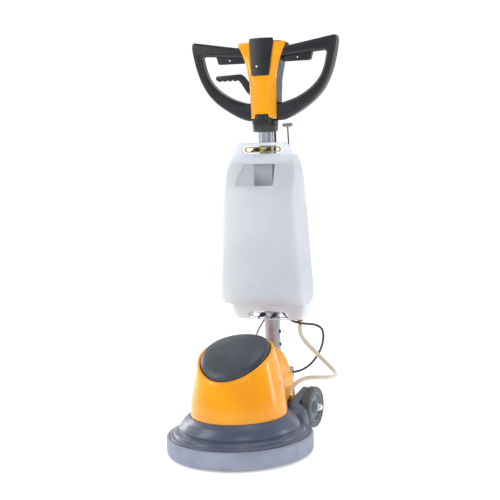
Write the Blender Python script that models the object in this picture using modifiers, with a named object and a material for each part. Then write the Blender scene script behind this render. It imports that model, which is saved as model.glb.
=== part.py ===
"""Single-disc floor scrubber with an upright handle and a solution tank.

Metres, +Z up. The origin is where the brush axis meets the floor. The front is -Y; the wheels, the
handle tube and the operator are on the +Y side. Left is -X and right is +X, seen from the front.
"""
import bpy
import bmesh
from math import pi, cos, sin, radians
from mathutils import Matrix, Vector

GAP = 0.0003                      # clearance between touching pieces

# Brush deck
SKIRT_R = 0.215                   # outer radius of the bumper skirt
SKIRT_BOTTOM = 0.006
SKIRT_TOP = 0.0575
DECK_R = 0.2045                   # outer radius of the base cover's lip
DECK_TOP = 0.1165                 # the plate that the motor cover stands on
SKIRT_WALL_R = DECK_R + GAP
PAD_R = 0.196
PAD_TOP = 0.014
DRIVER_TOP = 0.030

# Planetary gearbox: 9-tooth sun, 27-tooth planets, 63-tooth ring, 8 to 1
SUN_TEETH = 9
PLANET_TEETH = 27
RING_TEETH = 63
RING_PITCH_R = 0.0725
MODULE = 2 * RING_PITCH_R / RING_TEETH
SUN_PITCH_R = MODULE * SUN_TEETH / 2
PLANET_PITCH_R = MODULE * PLANET_TEETH / 2
PLANET_ORBIT_R = SUN_PITCH_R + PLANET_PITCH_R
TOOTH_RELIEF = 0.0002
TOOTH_DEPTH = 0.0020
GEAR_BOTTOM = 0.0668
GEAR_TOP = 0.0820

# Motor
STATOR_R = 0.080
ROTOR_R = 0.0490
SHAFT_R = 0.0085

# Covers
COVER_BOTTOM = DECK_TOP + GAP
COVER_PROFILE = [(0.1168, 0.1415), (0.140, 0.1405), (0.165, 0.1375), (0.200, 0.1305),
                 (0.240, 0.1225), (0.270, 0.1155), (0.300, 0.1075), (0.330, 0.0980)]
RIM_MIDDLE_Y = 0.003              # the slanted rim that the cap closes
RIM_MIDDLE_Z = 0.297
RIM_SLOPE = 0.34
RIM_CURVE = -1.5
SHELL_WALL = 0.003

# Axle and wheels
AXLE_Y = 0.238
AXLE_Z = 0.083
AXLE_R = 0.008
LOCK_X = -0.034                   # plane of the lock quadrant and its plunger
WHEEL_R = 0.0625
WHEEL_WIDTH = 0.028
WHEEL_X = 0.135
RIM_R = 0.046

# Handle tube and tank
TUBE_Y = 0.262
TUBE_R = 0.0238
TUBE_BORE_R = 0.0208
TUBE_BOTTOM = 0.200
TUBE_TOP = 0.984
WEB_FRONT = 0.2280                # the tank's two slotted webs, in front of the tube
WEB_BACK = 0.2350
CHANNEL_X = 0.0265
TANK_BACK = 0.280
TANK_BOTTOM = 0.350
TANK_TOP = 0.893
TANK_WALL = 0.0035
SLOT_HALF = 0.0655
SLOT_R = 0.0115
UPPER_SLOT_Z = 0.871
LOWER_SLOT_Z = 0.3635
LATCH_X = 0.0205                  # the turn latches that hold the tank
WINDOW_X, WINDOW_HALF, WINDOW_R = 0.0425, 0.0125, 0.0052  # the two windows of each tank bracket
VALVE_TOP = Vector((0.0735, TUBE_Y, 0.936))
VALVE_SEAT = Vector((0.0925, TUBE_Y, 0.3565))

# Head
FRAME_FRONT = 0.2550
FRAME_BACK = 0.2890
SHELL_FRONT = 0.2330
REAR_SHELL_BACK = 0.3060
LEVER_PIVOT = Vector((-0.031, 0.2640, 1.035))
TRIGGER_PIVOT_X = 0.068
TRIGGER_PIVOT_Z = 1.151
TRIGGER_Y = 0.272

LEAD_R = 0.0036
HOSE_R = 0.0065
CABLE_R = 0.0024


# ---------------------------------------------------------------- scene and materials

for old in list(bpy.data.objects):
    bpy.data.objects.remove(old)

PARTS = bpy.data.collections.new("floor_scrubber")
CUTTERS = bpy.data.collections.new("cutters")
for group in (PARTS, CUTTERS):
    bpy.context.scene.collection.children.link(group)


def linear(channel):
    return channel / 12.92 if channel <= 0.04045 else ((channel + 0.055) / 1.055) ** 2.4


def make_material(name, colour, roughness, metallic=0.0):
    material = bpy.data.materials.new(name)
    material.use_nodes = True
    shader = material.node_tree.nodes["Principled BSDF"]
    rgb = [linear(int(colour[i:i + 2], 16) / 255) for i in (0, 2, 4)]
    shader.inputs["Base Color"].default_value = (*rgb, 1.0)
    shader.inputs["Roughness"].default_value = roughness
    shader.inputs["Metallic"].default_value = metallic
    return material


MATERIALS = {
    "yellow_plastic": make_material("yellow_plastic", "faad08", 0.25),
    "deck_plastic": make_material("deck_plastic", "5c6a84", 0.45),
    "cap_plastic": make_material("cap_plastic", "4d5562", 0.5),
    "bumper": make_material("bumper", "a0a6b8", 0.6),
    "black_plastic": make_material("black_plastic", "1b1f29", 0.4),
    "shell_plastic": make_material("shell_plastic", "4a5060", 0.4),
    "tank_plastic": make_material("tank_plastic", "e4eaf3", 0.4),
    "tube_metal": make_material("tube_metal", "98a0ae", 0.4, 0.6),
    "zinc": make_material("zinc", "c2b56b", 0.35, 0.9),
    "steel": make_material("steel", "b4b7ba", 0.3, 1.0),
    "cast_metal": make_material("cast_metal", "8a8d90", 0.55, 0.8),
    "brass": make_material("brass", "b08a4a", 0.35, 1.0),
    "tyre": make_material("tyre", "656c6f", 0.8),
    "hub": make_material("hub", "707e8b", 0.5),
    "pad": make_material("pad", "2c2c30", 0.95),
    "hose": make_material("hose", "d8d4cc", 0.35),
    "cord": make_material("cord", "3a4452", 0.6),
    "lens": make_material("lens", "f4f4f0", 0.15),
}


# ---------------------------------------------------------------- building helpers

def add(name, mesh, material=None, location=(0, 0, 0), rotation=(0, 0, 0)):
    """Link a mesh or curve as a named part, or as a cutter when it has no material."""
    thing = bpy.data.objects.new(name, mesh)
    thing.location = location
    thing.rotation_euler = rotation
    if material:
        mesh.materials.append(MATERIALS[material])
        PARTS.objects.link(thing)
    else:
        CUTTERS.objects.link(thing)
        thing.hide_render = True
        thing.display_type = "WIRE"
    return thing


def finish_mesh(work, name, smooth_angle=35):
    bmesh.ops.recalc_face_normals(work, faces=work.faces)
    mesh = bpy.data.meshes.new(name)
    work.to_mesh(mesh)
    work.free()
    mesh.shade_smooth()
    mesh.set_sharp_from_angle(angle=radians(smooth_angle))
    return mesh


def box(name, low, high, material=None):
    work = bmesh.new()
    bmesh.ops.create_cube(work, size=1.0)
    size = [high[i] - low[i] for i in range(3)]
    middle = [(high[i] + low[i]) / 2 for i in range(3)]
    bmesh.ops.scale(work, vec=size, verts=work.verts)
    return add(name, finish_mesh(work, name), material, middle)


def cylinder(name, radius, start, end, material=None, sides=24, radius_end=None):
    """A straight round bar between two points."""
    start, end = Vector(start), Vector(end)
    work = bmesh.new()
    tip = radius if radius_end is None else radius_end
    bmesh.ops.create_cone(work, cap_ends=True, segments=sides, radius1=radius, radius2=tip,
                          depth=(end - start).length)
    turn = (end - start).to_track_quat("Z", "Y").to_euler()
    return add(name, finish_mesh(work, name), material, (start + end) / 2, turn)


def turned(name, profile, material=None, steps=48, location=(0, 0, 0), rotation=(0, 0, 0), closed=False):
    """Profile points (radius, height) that run down the outer side, spun about the local Z axis."""
    mesh = bpy.data.meshes.new(name)
    edges = [(i, i + 1) for i in range(len(profile) - 1)]
    if closed:
        edges.append((len(profile) - 1, 0))
    mesh.from_pydata([(r, 0, z) for r, z in profile], edges, [])
    thing = add(name, mesh, material, location, rotation)
    screw = thing.modifiers.new("Turn", "SCREW")
    screw.steps = steps
    screw.render_steps = steps
    screw.use_merge_vertices = True
    screw.merge_threshold = 0.00001
    screw.use_smooth_shade = True
    return thing


def smooth_points(points, per_span, closed=False):
    """Points on a Catmull-Rom curve through the given ones."""
    points = [Vector(p) for p in points]
    count = len(points)
    result = []
    for i in range(count if closed else count - 1):
        a, b = points[i], points[(i + 1) % count]
        before = points[i - 1] if closed or i else a * 2 - b
        after = points[(i + 2) % count] if closed or i + 2 < count else b * 2 - a
        for k in range(per_span):
            t = k / per_span
            result.append(0.5 * (2 * a + (b - before) * t + (2 * before - 5 * a + 4 * b - after) * t * t
                                 + (3 * a - before - 3 * b + after) * t ** 3))
    if not closed:
        result.append(points[-1])
    return result


def plate(name, loops, thickness, material=None, matrix=None, bevel=0.0, segments=1):
    """A flat outline, with holes, given thickness about its own plane and rounded edges."""
    curve = bpy.data.curves.new(name, "CURVE")
    curve.dimensions = "2D"
    curve.fill_mode = "BOTH"
    curve.extrude = thickness / 2
    for loop in loops:
        spline = curve.splines.new("POLY")
        spline.points.add(len(loop) - 1)
        for point, place in zip(spline.points, loop):
            point.co = (place[0], place[1], 0, 1)
        spline.use_cyclic_u = True
    guide = bpy.data.objects.new(name + "_guide", curve)
    CUTTERS.objects.link(guide)
    bpy.context.view_layer.update()
    mesh = bpy.data.meshes.new_from_object(guide.evaluated_get(bpy.context.evaluated_depsgraph_get()))
    bpy.data.objects.remove(guide)
    work = bmesh.new()
    work.from_mesh(mesh)
    bmesh.ops.remove_doubles(work, verts=work.verts, dist=0.00001)
    if bevel:
        bmesh.ops.dissolve_limit(work, angle_limit=radians(0.5), verts=work.verts, edges=work.edges)
    thing = add(name, finish_mesh(work, name), material)
    if matrix:
        thing.matrix_world = matrix
    if bevel:
        rounding = thing.modifiers.new("Round", "BEVEL")
        rounding.width = bevel
        rounding.segments = segments
        rounding.limit_method = "ANGLE"
        rounding.angle_limit = radians(50)
    return thing


def facing_front(y):
    """Puts a plate's outline (x, z) in the vertical plane at this y."""
    return Matrix.Translation((0, y, 0)) @ Matrix.Rotation(pi / 2, 4, "X")


def facing_side(x):
    """Puts a plate's outline (y, z) in the vertical plane at this x."""
    return Matrix.Translation((x, 0, 0)) @ Matrix.Rotation(pi / 2, 4, "Z") @ Matrix.Rotation(pi / 2, 4, "X")


def loft(name, rings, material=None, cap_start=True, cap_end=True):
    """A skin through closed rings of equal point count."""
    work = bmesh.new()
    rows = [[work.verts.new(p) for p in ring] for ring in rings]
    count = len(rows[0])
    for low, high in zip(rows, rows[1:]):
        for i in range(count):
            work.faces.new((low[i], low[(i + 1) % count], high[(i + 1) % count], high[i]))
    if cap_start:
        work.faces.new(rows[0])
    if cap_end:
        work.faces.new(rows[-1])
    return add(name, finish_mesh(work, name), material)


def boolean(target, other, operation="DIFFERENCE"):
    step = target.modifiers.new(operation.title(), "BOOLEAN")
    step.operation = operation
    step.object = other
    return target


def tube(name, points, radius, material, resolution=2):
    """A round bar along a line of points, with closed ends."""
    curve = bpy.data.curves.new(name, "CURVE")
    curve.dimensions = "3D"
    curve.bevel_depth = radius
    curve.bevel_resolution = resolution
    curve.use_fill_caps = True
    spline = curve.splines.new("POLY")
    spline.points.add(len(points) - 1)
    for point, place in zip(spline.points, points):
        point.co = (*place, 1)
    return add(name, curve, material)


def along(profile, value):
    """Straight-line reading of (position, size) pairs."""
    for (a, size_a), (b, size_b) in zip(profile, profile[1:]):
        if value <= b:
            return size_a + (size_b - size_a) * (value - a) / (b - a)
    return profile[-1][1]


# ---------------------------------------------------------------- brush deck

def wing_outline(inset):
    """Plan of a wheel wing: from over the deck, round in front of the wheel, back past the axle."""
    return [(0.0935, 0.085), (0.140 - inset, 0.085), (0.164 - inset, 0.112), (0.163 - inset, 0.139),
            (0.150 - inset, 0.160), (0.1185, 0.166), (0.1185, 0.272), (0.0935, 0.272)]


def wing_top(x, y):
    return 0.116 + 0.18 * (y - 0.160) - 0.26 * (x - 0.100)


def make_wing(side):
    bottom = [Vector((side * x, y, SKIRT_TOP + GAP)) for x, y in wing_outline(0)]
    middle = [Vector((side * x, y, wing_top(x, y) - 0.012)) for x, y in wing_outline(0.004)]
    top = [Vector((side * x, y, wing_top(x, y))) for x, y in wing_outline(0.015)]
    return loft("wing", [bottom, middle, top])


def make_deck():
    profile = [(0.1202, DECK_TOP), (0.1462, DECK_TOP), (0.1600, 0.1050), (0.1715, 0.0905), (0.1765, 0.0815),
               (0.1740, 0.0750), (0.1905, 0.0690), (0.1930, 0.0635), (0.2030, 0.0600),
               (DECK_R, 0.0570), (DECK_R, 0.0500), (0.2000, 0.0500),
               (0.1980, 0.0560), (0.1690, 0.0680), (0.1560, 0.0950), (0.1430, 0.1090),
               (0.1202, 0.1090)]
    deck = turned("base_cover", profile, "deck_plastic", 36, closed=True)
    under = [(0, 0.1150), (0.1450, 0.1150), (0.1585, 0.1035), (0.1700, 0.0890), (0.1752, 0.0805), (0.1752, 0.0705),
             (0.1850, 0.0690), (0.1900, 0.0640), (0.1955, 0.0612), (0.2020, 0.0587), (0.2020, 0.0450), (0, 0.0450)]
    under_deck = turned("under_deck", under, None, 37)
    for side in (-1, 1):
        boolean(deck, boolean(make_wing(side), under_deck), "UNION")
    boss = cylinder("hose_boss", 0.0105, (0.106, 0.136, 0.100), (0.106, 0.136, 0.1235), sides=20)
    boolean(deck, boss, "UNION")
    boolean(deck, cylinder("axle_bore", AXLE_R + GAP, (-0.2, AXLE_Y, AXLE_Z), (0.2, AXLE_Y, AXLE_Z)))
    skirt = [(0.2095, SKIRT_TOP), (0.2135, SKIRT_TOP - 0.001), (SKIRT_R, SKIRT_TOP - 0.004),
             (SKIRT_R, 0.0110), (0.2135, 0.0070), (0.2100, SKIRT_BOTTOM), (SKIRT_WALL_R, SKIRT_BOTTOM),
             (SKIRT_WALL_R, SKIRT_TOP - 0.0005)]
    turned("bumper_skirt", skirt, "bumper", 36, closed=True)


def make_brush_drive():
    pad = [(0, PAD_TOP), (0.192, PAD_TOP), (PAD_R, 0.011), (PAD_R, 0.002), (0.194, 0), (0, 0)]
    turned("floor_pad", pad, "pad", 40)
    low = PAD_TOP + GAP
    driver = [(0, DRIVER_TOP), (0.060, DRIVER_TOP), (0.066, 0.0240), (0.186, 0.0220), (0.190, 0.0190),
              (0.190, low), (0, low)]
    turned("pad_driver", driver, "black_plastic", 32)
    carrier_low = DRIVER_TOP + GAP
    carrier = [(0, 0.0660), (0.058, 0.0660), (0.058, 0.0580), (0.018, 0.0580), (0.018, 0.0405),
               (0.030, 0.0400), (0.030, carrier_low), (0, carrier_low)]
    body = turned("planet_carrier", carrier, "steel", 32)
    for i in range(3):
        angle = 2 * pi * i / 3
        x, y = PLANET_ORBIT_R * cos(angle), PLANET_ORBIT_R * sin(angle)
        boolean(body, cylinder("planet_pin", 0.006, (x, y, 0.0620), (x, y, 0.0845), sides=16), "UNION")
        spur = gear(f"planet_gear_{i + 1}", PLANET_TEETH, PLANET_PITCH_R, "steel", angle * RING_TEETH / PLANET_TEETH)
        spur.location = (x, y, (GEAR_BOTTOM + GEAR_TOP) / 2)
        bore = cylinder("planet_bore", 0.006 + GAP, (x, y, 0.05), (x, y, 0.10), sides=16)
        boolean(spur, bore)


def tooth_outline(teeth, tip, root, turn=0.0):
    """Pointed teeth with flat roots between the two radii."""
    points = []
    for i in range(teeth):
        for part, radius in ((-0.30, root), (0.0, tip), (0.30, root)):
            angle = turn + 2 * pi * (i + part) / teeth
            points.append((radius * cos(angle), radius * sin(angle)))
    return points


def gear(name, teeth, pitch_r, material, turn):
    tip = pitch_r - TOOTH_RELIEF
    return plate(name, [tooth_outline(teeth, tip, tip - TOOTH_DEPTH, turn)], GEAR_TOP - GEAR_BOTTOM, material)


# ---------------------------------------------------------------- gearbox and motor

def make_gearbox():
    housing = [(0.1195, 0.1080), (0.1195, 0.1000), (0.0860, 0.0980), (0.0840, 0.0460), (0.0800, 0.0440),
               (0.0200, 0.0440), (0.0200, 0.0520), (0.0760, 0.0540), (0.0790, 0.0600), (0.0790, 0.1080)]
    turned("gearbox_housing", housing, "cast_metal", 28, closed=True)
    ring_tip = RING_PITCH_R + TOOTH_RELIEF
    outer = [(0.0778 * cos(2 * pi * i / 36), 0.0778 * sin(2 * pi * i / 36)) for i in range(36)]
    teeth = tooth_outline(RING_TEETH, ring_tip, ring_tip + TOOTH_DEPTH, pi / RING_TEETH)
    ring = plate("ring_gear", [outer, teeth], GEAR_TOP - GEAR_BOTTOM, "steel")
    ring.location = (0, 0, (GEAR_BOTTOM + GEAR_TOP) / 2)
    lid = [(0.0850, 0.1175), (0.0850, 0.1083), (0.0780, 0.1083), (0.0780, 0.1000), (0.0140, 0.1000),
           (0.0140, 0.1060), (0.0185, 0.1062), (0.0185, 0.1175)]
    turned("gearbox_lid", lid, "cast_metal", 32, closed=True)
    bearing("lower_bearing", 0.1065)


def bearing(name, bottom):
    top = bottom + 0.0100
    ring = [(0.0182, top), (0.0182, bottom), (SHAFT_R + GAP, bottom), (SHAFT_R + GAP, top)]
    turned(name, ring, "steel", 24, closed=True)


def make_motor():
    fins = 18
    outline = []
    for i in range(fins):
        for part, radius in ((-0.28, STATOR_R - 0.005), (-0.2, STATOR_R), (0.2, STATOR_R), (0.28, STATOR_R - 0.005)):
            angle = 2 * pi * (i + part) / fins
            outline.append((radius * cos(angle), radius * sin(angle)))
    bore = [(0.0500 * cos(2 * pi * i / 32), 0.0500 * sin(2 * pi * i / 32)) for i in range(32)]
    stator = plate("motor_stator", [outline, bore], 0.0800, "cast_metal")
    stator.location = (0, 0, 0.1580)
    bell = [(0.0700, 0.2070), (0.0790, 0.2020), (0.0790, 0.1985), (0.0140, 0.1985), (0.0140, 0.2000),
            (0.0185, 0.2002), (0.0185, 0.2120), (0.0240, 0.2120), (0.0260, 0.2070)]
    turned("motor_end_bell", bell, "cast_metal", 32, closed=True)
    bearing("upper_bearing", 0.2006)
    shaft = [(0, 0.2280), (SHAFT_R, 0.2280), (SHAFT_R, 0.1900), (ROTOR_R, 0.1885), (ROTOR_R, 0.1265),
             (SHAFT_R, 0.1250), (SHAFT_R, 0.0840), (0, 0.0840)]
    rotor = turned("motor_rotor", shaft, "steel", 24)
    pinion = gear("pinion", SUN_TEETH, SUN_PITCH_R, None, pi / SUN_TEETH)
    pinion.location = (0, 0, (GEAR_BOTTOM + GEAR_TOP) / 2 + 0.0035)
    boolean(rotor, pinion, "UNION")
    blades = []
    for i in range(7):
        for part, radius in ((-0.36, 0.024), (-0.2, 0.058), (0.12, 0.058), (0.0, 0.024)):
            angle = 2 * pi * (i + part) / 7
            blades.append((radius * cos(angle), radius * sin(angle)))
    hole = [((SHAFT_R + GAP) * cos(2 * pi * i / 20), (SHAFT_R + GAP) * sin(2 * pi * i / 20)) for i in range(20)]
    fan = plate("cooling_fan", [blades, hole], 0.010, "black_plastic")
    fan.location = (0, 0, 0.2200)
    cylinder("start_capacitor", 0.0200, (0, 0.175, 0.1190), (0, 0.175, 0.2050), "steel", 20)


# ---------------------------------------------------------------- motor cover, cap and rear cover

def rim_height(y):
    away = y - RIM_MIDDLE_Y
    return RIM_MIDDLE_Z + RIM_SLOPE * away + RIM_CURVE * away * away


def cover_point(angle, z, grow=0.0):
    """A point on the motor cover's outside: round in front, longer behind towards the top."""
    stretch = 0.02 + 0.20 * max(0.0, (z - 0.15) / 0.17)
    radius = along(COVER_PROFILE, z) + grow
    back = max(0.0, sin(angle))
    return Vector((radius * cos(angle), radius * sin(angle) * (1 + stretch * back), z))


def rim_point(angle, inset=0.0, lift=0.0):
    z = RIM_MIDDLE_Z
    for _ in range(12):
        z = rim_height(cover_point(angle, z).y)
    point = cover_point(angle, z, -inset)
    return Vector((point.x, point.y, rim_height(point.y) + lift))


def cover_rows(count, sides, grow=0.0):
    rows = []
    for level in range(count):
        row = []
        for i in range(sides):
            angle = 2 * pi * i / sides
            top = rim_point(angle).z - 0.004
            z = COVER_BOTTOM + (top - COVER_BOTTOM) * level / (count - 1)
            row.append(cover_point(angle, z, grow))
        rows.append(row)
    return rows


def make_covers():
    sides = 36
    angles = [2 * pi * i / sides for i in range(sides)]
    rows = cover_rows(5, sides)
    rows.append([rim_point(a, 0.0012, -0.0008) for a in angles])
    rows.append([rim_point(a, 0.0042, 0.0004) for a in angles])
    rows.append([rim_point(a, 0.0068, -0.0022) for a in angles])
    cover = loft("motor_cover", rows, "yellow_plastic", False, False)
    wall = cover.modifiers.new("Wall", "SOLIDIFY")
    wall.thickness = SHELL_WALL
    wall.offset = -1
    make_cap(angles)
    make_rear_cover()


def make_cap(angles):
    rings = []
    for share, crown in ((1.0, 0.0), (0.97, 0.0035), (0.88, 0.0080), (0.68, 0.0130), (0.42, 0.0160), (0.18, 0.0170)):
        ring = []
        for a in angles:
            edge = rim_point(a, 0.0105)
            x, y = edge.x * share, RIM_MIDDLE_Y + (edge.y - RIM_MIDDLE_Y) * share
            ring.append(Vector((x, y, rim_height(y) - 0.0010 + crown)))
        rings.append(ring)
    cap = loft("motor_cap", rings, "cap_plastic", False, True)
    wall = cap.modifiers.new("Wall", "SOLIDIFY")
    wall.thickness = SHELL_WALL
    wall.offset = -1


def rounded_back(half_width, back, z, corner=0.022, front=0.085):
    """Plan of the rear cover at one height, with two rounded rear corners."""
    points = [Vector((half_width, front, z))]
    for i in range(6):
        angle = i * pi / 10
        points.append(Vector((half_width - corner * (1 - cos(angle)), back - corner * (1 - sin(angle)), z)))
    return points + [Vector((-p.x, p.y, z)) for p in reversed(points)]


def make_rear_cover():
    sizes = [(0.1168, 0.0925, 0.2235), (0.1500, 0.0915, 0.2235), (0.1960, 0.0880, 0.2185), (0.2000, 0.0835, 0.2145),
             (0.2300, 0.0810, 0.2040), (0.2580, 0.0760, 0.1880), (0.2780, 0.0650, 0.1690), (0.2900, 0.0450, 0.1480)]
    cover = loft("rear_cover", [rounded_back(w, back, z) for z, w, back in sizes], "yellow_plastic", False, True)
    wall = cover.modifiers.new("Wall", "SOLIDIFY")
    wall.thickness = SHELL_WALL
    wall.offset = -1
    rows = cover_rows(5, 36, GAP)
    rows.insert(0, [Vector((p.x, p.y, 0.10)) for p in rows[0]])
    rows.append([Vector((p.x, p.y, p.z + 0.05)) for p in rows[-1]])
    boolean(cover, loft("motor_cover_space", rows))
    boolean(cover, cylinder("lead_hole", 0.0050, (0.0660, 0.190, 0.186), (0.0660, 0.25, 0.186), sides=16))
    gland = [(0, 0.016), (0.0042, 0.016), (0.0048, 0.004), (0.0078, 0.004), (0.0078, 0), (0.0046, 0),
             (0.0046, -0.008), (0, -0.008)]
    turned("lead_gland", gland, "black_plastic", 16, (0.0660, 0.2206, 0.186), (-pi / 2, 0, 0))
    barb = [(0, 0.0180), (0.0034, 0.0180), (0.0044, 0.0120), (0.0034, 0.0118), (0.0034, 0.0080), (0.0085, 0.0080),
            (0.0085, 0), (0, 0)]
    turned("hose_inlet_barb", barb, "brass", 16, (0.106, 0.136, 0.1235 + GAP))


# ---------------------------------------------------------------- axle and wheels

def make_wheels():
    cylinder("wheel_axle", AXLE_R, (-0.1600, AXLE_Y, AXLE_Z), (0.1600, AXLE_Y, AXLE_Z), "steel", 20)
    half = WHEEL_WIDTH / 2
    tyre = [(0.0595, half), (WHEEL_R, half - 0.005), (WHEEL_R, 0.005 - half), (0.0595, -half), (RIM_R, -half),
            (RIM_R, half)]
    hub = [(RIM_R - GAP, half - 0.001), (RIM_R - GAP, 0.001 - half), (0.0400, 0.001 - half), (0.0380, -0.006),
           (0.0180, -0.006), (0.0160, -half), (AXLE_R + GAP, -half), (AXLE_R + GAP, half), (0.0160, half),
           (0.0180, 0.006), (0.0380, 0.006), (0.0400, half - 0.001)]
    for word, side in (("left", -1), ("right", 1)):
        place = ((side * WHEEL_X, AXLE_Y, AXLE_Z), (0, side * pi / 2, 0))
        turned("wheel_tyre_" + word, tyre, "tyre", 28, *place, closed=True)
        turned("wheel_hub_" + word, hub, "hub", 20, *place, closed=True)
        nut = [(0, 0.0180), (0.0045, 0.0172), (0.0080, 0.0148), (0.0098, 0.0115), (0.0098, 0.0078),
               (0.0115, 0.0066), (0.0115, 0.0004), (0.0085, 0.0004), (0.0085, 0.0120), (0, 0.0120)]
        start = side * (WHEEL_X + half)
        turned("axle_nut_" + word, nut, "steel", 12, (start, AXLE_Y, AXLE_Z), (0, side * pi / 2, 0))


# ---------------------------------------------------------------- yoke, tube and lock

def make_yoke():
    arm_points = [(0.2200, 0.0960), (0.2290, 0.1240), (0.2420, 0.1650), (0.2420, 0.1950), (0.2820, 0.1950),
                  (0.2820, 0.1650), (0.2640, 0.1180), (0.2570, 0.0900)]
    boss = [(AXLE_Y + 0.0185 * cos(pi * (0.05 - i / 8)), AXLE_Z + 0.0185 * sin(pi * (0.05 - i / 8))) for i in range(9)]
    outline = arm_points[:-1] + boss
    yoke = box("handle_yoke", (-0.0580, 0.2420, 0.1650), (0.0580, 0.2820, 0.1950), "cast_metal")
    for side in (-1, 1):
        arm = plate("yoke_arm", [outline], 0.0120, None, facing_side(side * 0.0522))
        boolean(yoke, arm, "UNION")
    spigot = cylinder("spigot", TUBE_BORE_R - GAP, (0, TUBE_Y, 0.190), (0, TUBE_Y, 0.335), sides=24)
    boolean(yoke, spigot, "UNION")
    boolean(yoke, cylinder("plunger_boss", 0.0095, (LOCK_X, TUBE_Y, 0.190), (LOCK_X, TUBE_Y, 0.2150), sides=16), "UNION")
    boolean(yoke, cylinder("plunger_bore", 0.0063, (LOCK_X, TUBE_Y, 0.150), (LOCK_X, TUBE_Y, 0.2110), sides=16))
    boolean(yoke, cylinder("yoke_bore", AXLE_R + GAP, (-0.1, AXLE_Y, AXLE_Z), (0.1, AXLE_Y, AXLE_Z), sides=20))
    pipe = [(TUBE_R, TUBE_TOP), (TUBE_R, TUBE_BOTTOM), (TUBE_BORE_R, TUBE_BOTTOM), (TUBE_BORE_R, TUBE_TOP)]
    turned("handle_tube", pipe, "tube_metal", 40, (0, TUBE_Y, 0), closed=True)
    for word, z in (("upper", 0.3080), ("lower", 0.2680)):
        bolt = [(0, 0.0040), (0.0035, 0.0034), (0.0052, 0.0014), (0.0052, 0), (0, 0)]
        turned("tube_bolt_" + word, bolt, "black_plastic", 12, (TUBE_R + GAP, TUBE_Y, z), (0, pi / 2, 0))
    plunger = [(0, 0.2050), (0.0060, 0.2050), (0.0060, 0.1575), (0.0092, 0.1570), (0.0092, 0.1550), (0.0070, 0.1532),
               (0, 0.1532)]
    turned("lock_plunger", plunger, "steel", 16, (LOCK_X, TUBE_Y, 0))
    turns, start, rise = 3, 0.1583, 0.0058
    coil = []
    for i in range(turns * 12 + 1):
        angle = 2 * pi * i / 12
        coil.append((LOCK_X + 0.0078 * cos(angle), TUBE_Y + 0.0078 * sin(angle), start + rise * i / (turns * 12)))
    tube("lock_spring", coil, 0.0006, "steel", 1)


def make_quadrant():
    points = [(AXLE_Y + 0.072 * sin(radians(a)), AXLE_Z + 0.072 * cos(radians(a))) for a in range(2, 83, 5)]
    hub = [(AXLE_Y + 0.017 * sin(radians(a)), AXLE_Z + 0.017 * cos(radians(a))) for a in range(90, 361, 30)]
    quadrant = plate("lock_quadrant", [points + hub], 0.0060, "zinc", facing_side(LOCK_X))
    boolean(quadrant, cylinder("quadrant_bore", AXLE_R + GAP, (-0.1, AXLE_Y, AXLE_Z), (0.1, AXLE_Y, AXLE_Z), sides=20))


# ---------------------------------------------------------------- tank and valve

TANK_LEVELS = [(0.4000, 0.1180, 0.2150, 0.1900), (0.4040, 0.1270, 0.2060, 0.1720), (0.4120, 0.1335, 0.1980, 0.1570),
               (0.4300, 0.1370, 0.1930, 0.1460), (0.4700, 0.1365, 0.1920, 0.1420), (0.5600, 0.1310, 0.1930, 0.1400),
               (0.6600, 0.1260, 0.1950, 0.1390), (0.7200, 0.1225, 0.1970, 0.1400), (0.7450, 0.1205, 0.1990, 0.1440),
               (0.7700, 0.1185, 0.2020, 0.1590), (0.8000, 0.1150, 0.2090, 0.1835), (0.8300, 0.1090, 0.2190, 0.2080),
               (0.8460, 0.1030, 0.2260, 0.2190), (0.8530, 0.0960, 0.2290, 0.2240)]


def tank_ring(z, half_width, edge_y, front_y, inset=0.0):
    """One level of the tank: bowed front, square sides, and the channel for the tube behind."""
    w = half_width - inset
    back = TANK_BACK - inset
    channel_x = CHANNEL_X + inset
    channel_y = WEB_BACK + 0.0005 - inset
    half = [(0.0, front_y + inset)]
    for i in range(1, 7):
        angle = i * pi / 14
        x = w * (sin(angle) ** 0.9)
        half.append((x, front_y + inset + (edge_y - front_y) * (1 - cos(angle)) ** 1.1))
    half.append((w, edge_y + 0.004))
    half.append((w, back - 0.012))
    half.append((w - 0.0035, back - 0.0035))
    half.append((w - 0.012, back))
    half.append((channel_x, back))
    half.append((channel_x, channel_y))
    return [Vector((x, y, z)) for x, y in half] + [Vector((-x, y, z)) for x, y in reversed(half[1:])]


def block_ring(z, half_width, front, inset=0.0):
    w, back = half_width - inset, TANK_BACK - inset
    half = [(w - 0.012, front + inset), (w - 0.003, front + inset + 0.003), (w, front + inset + 0.010), (w, back - 0.010),
            (w - 0.010, back)]
    return [Vector((x, y, z)) for x, y in half] + [Vector((-x, y, z)) for x, y in reversed(half)]


def slot_outline(z, half_width=SLOT_HALF, radius=SLOT_R):
    points = []
    for side in (1, -1):
        for i in range(9):
            angle = side * (pi / 2 - pi * i / 8) if side > 0 else pi / 2 + pi * i / 8
            points.append((side * (half_width - radius) + radius * cos(angle), z + radius * sin(angle)))
        if side > 0:
            points.reverse()
    return points


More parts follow.
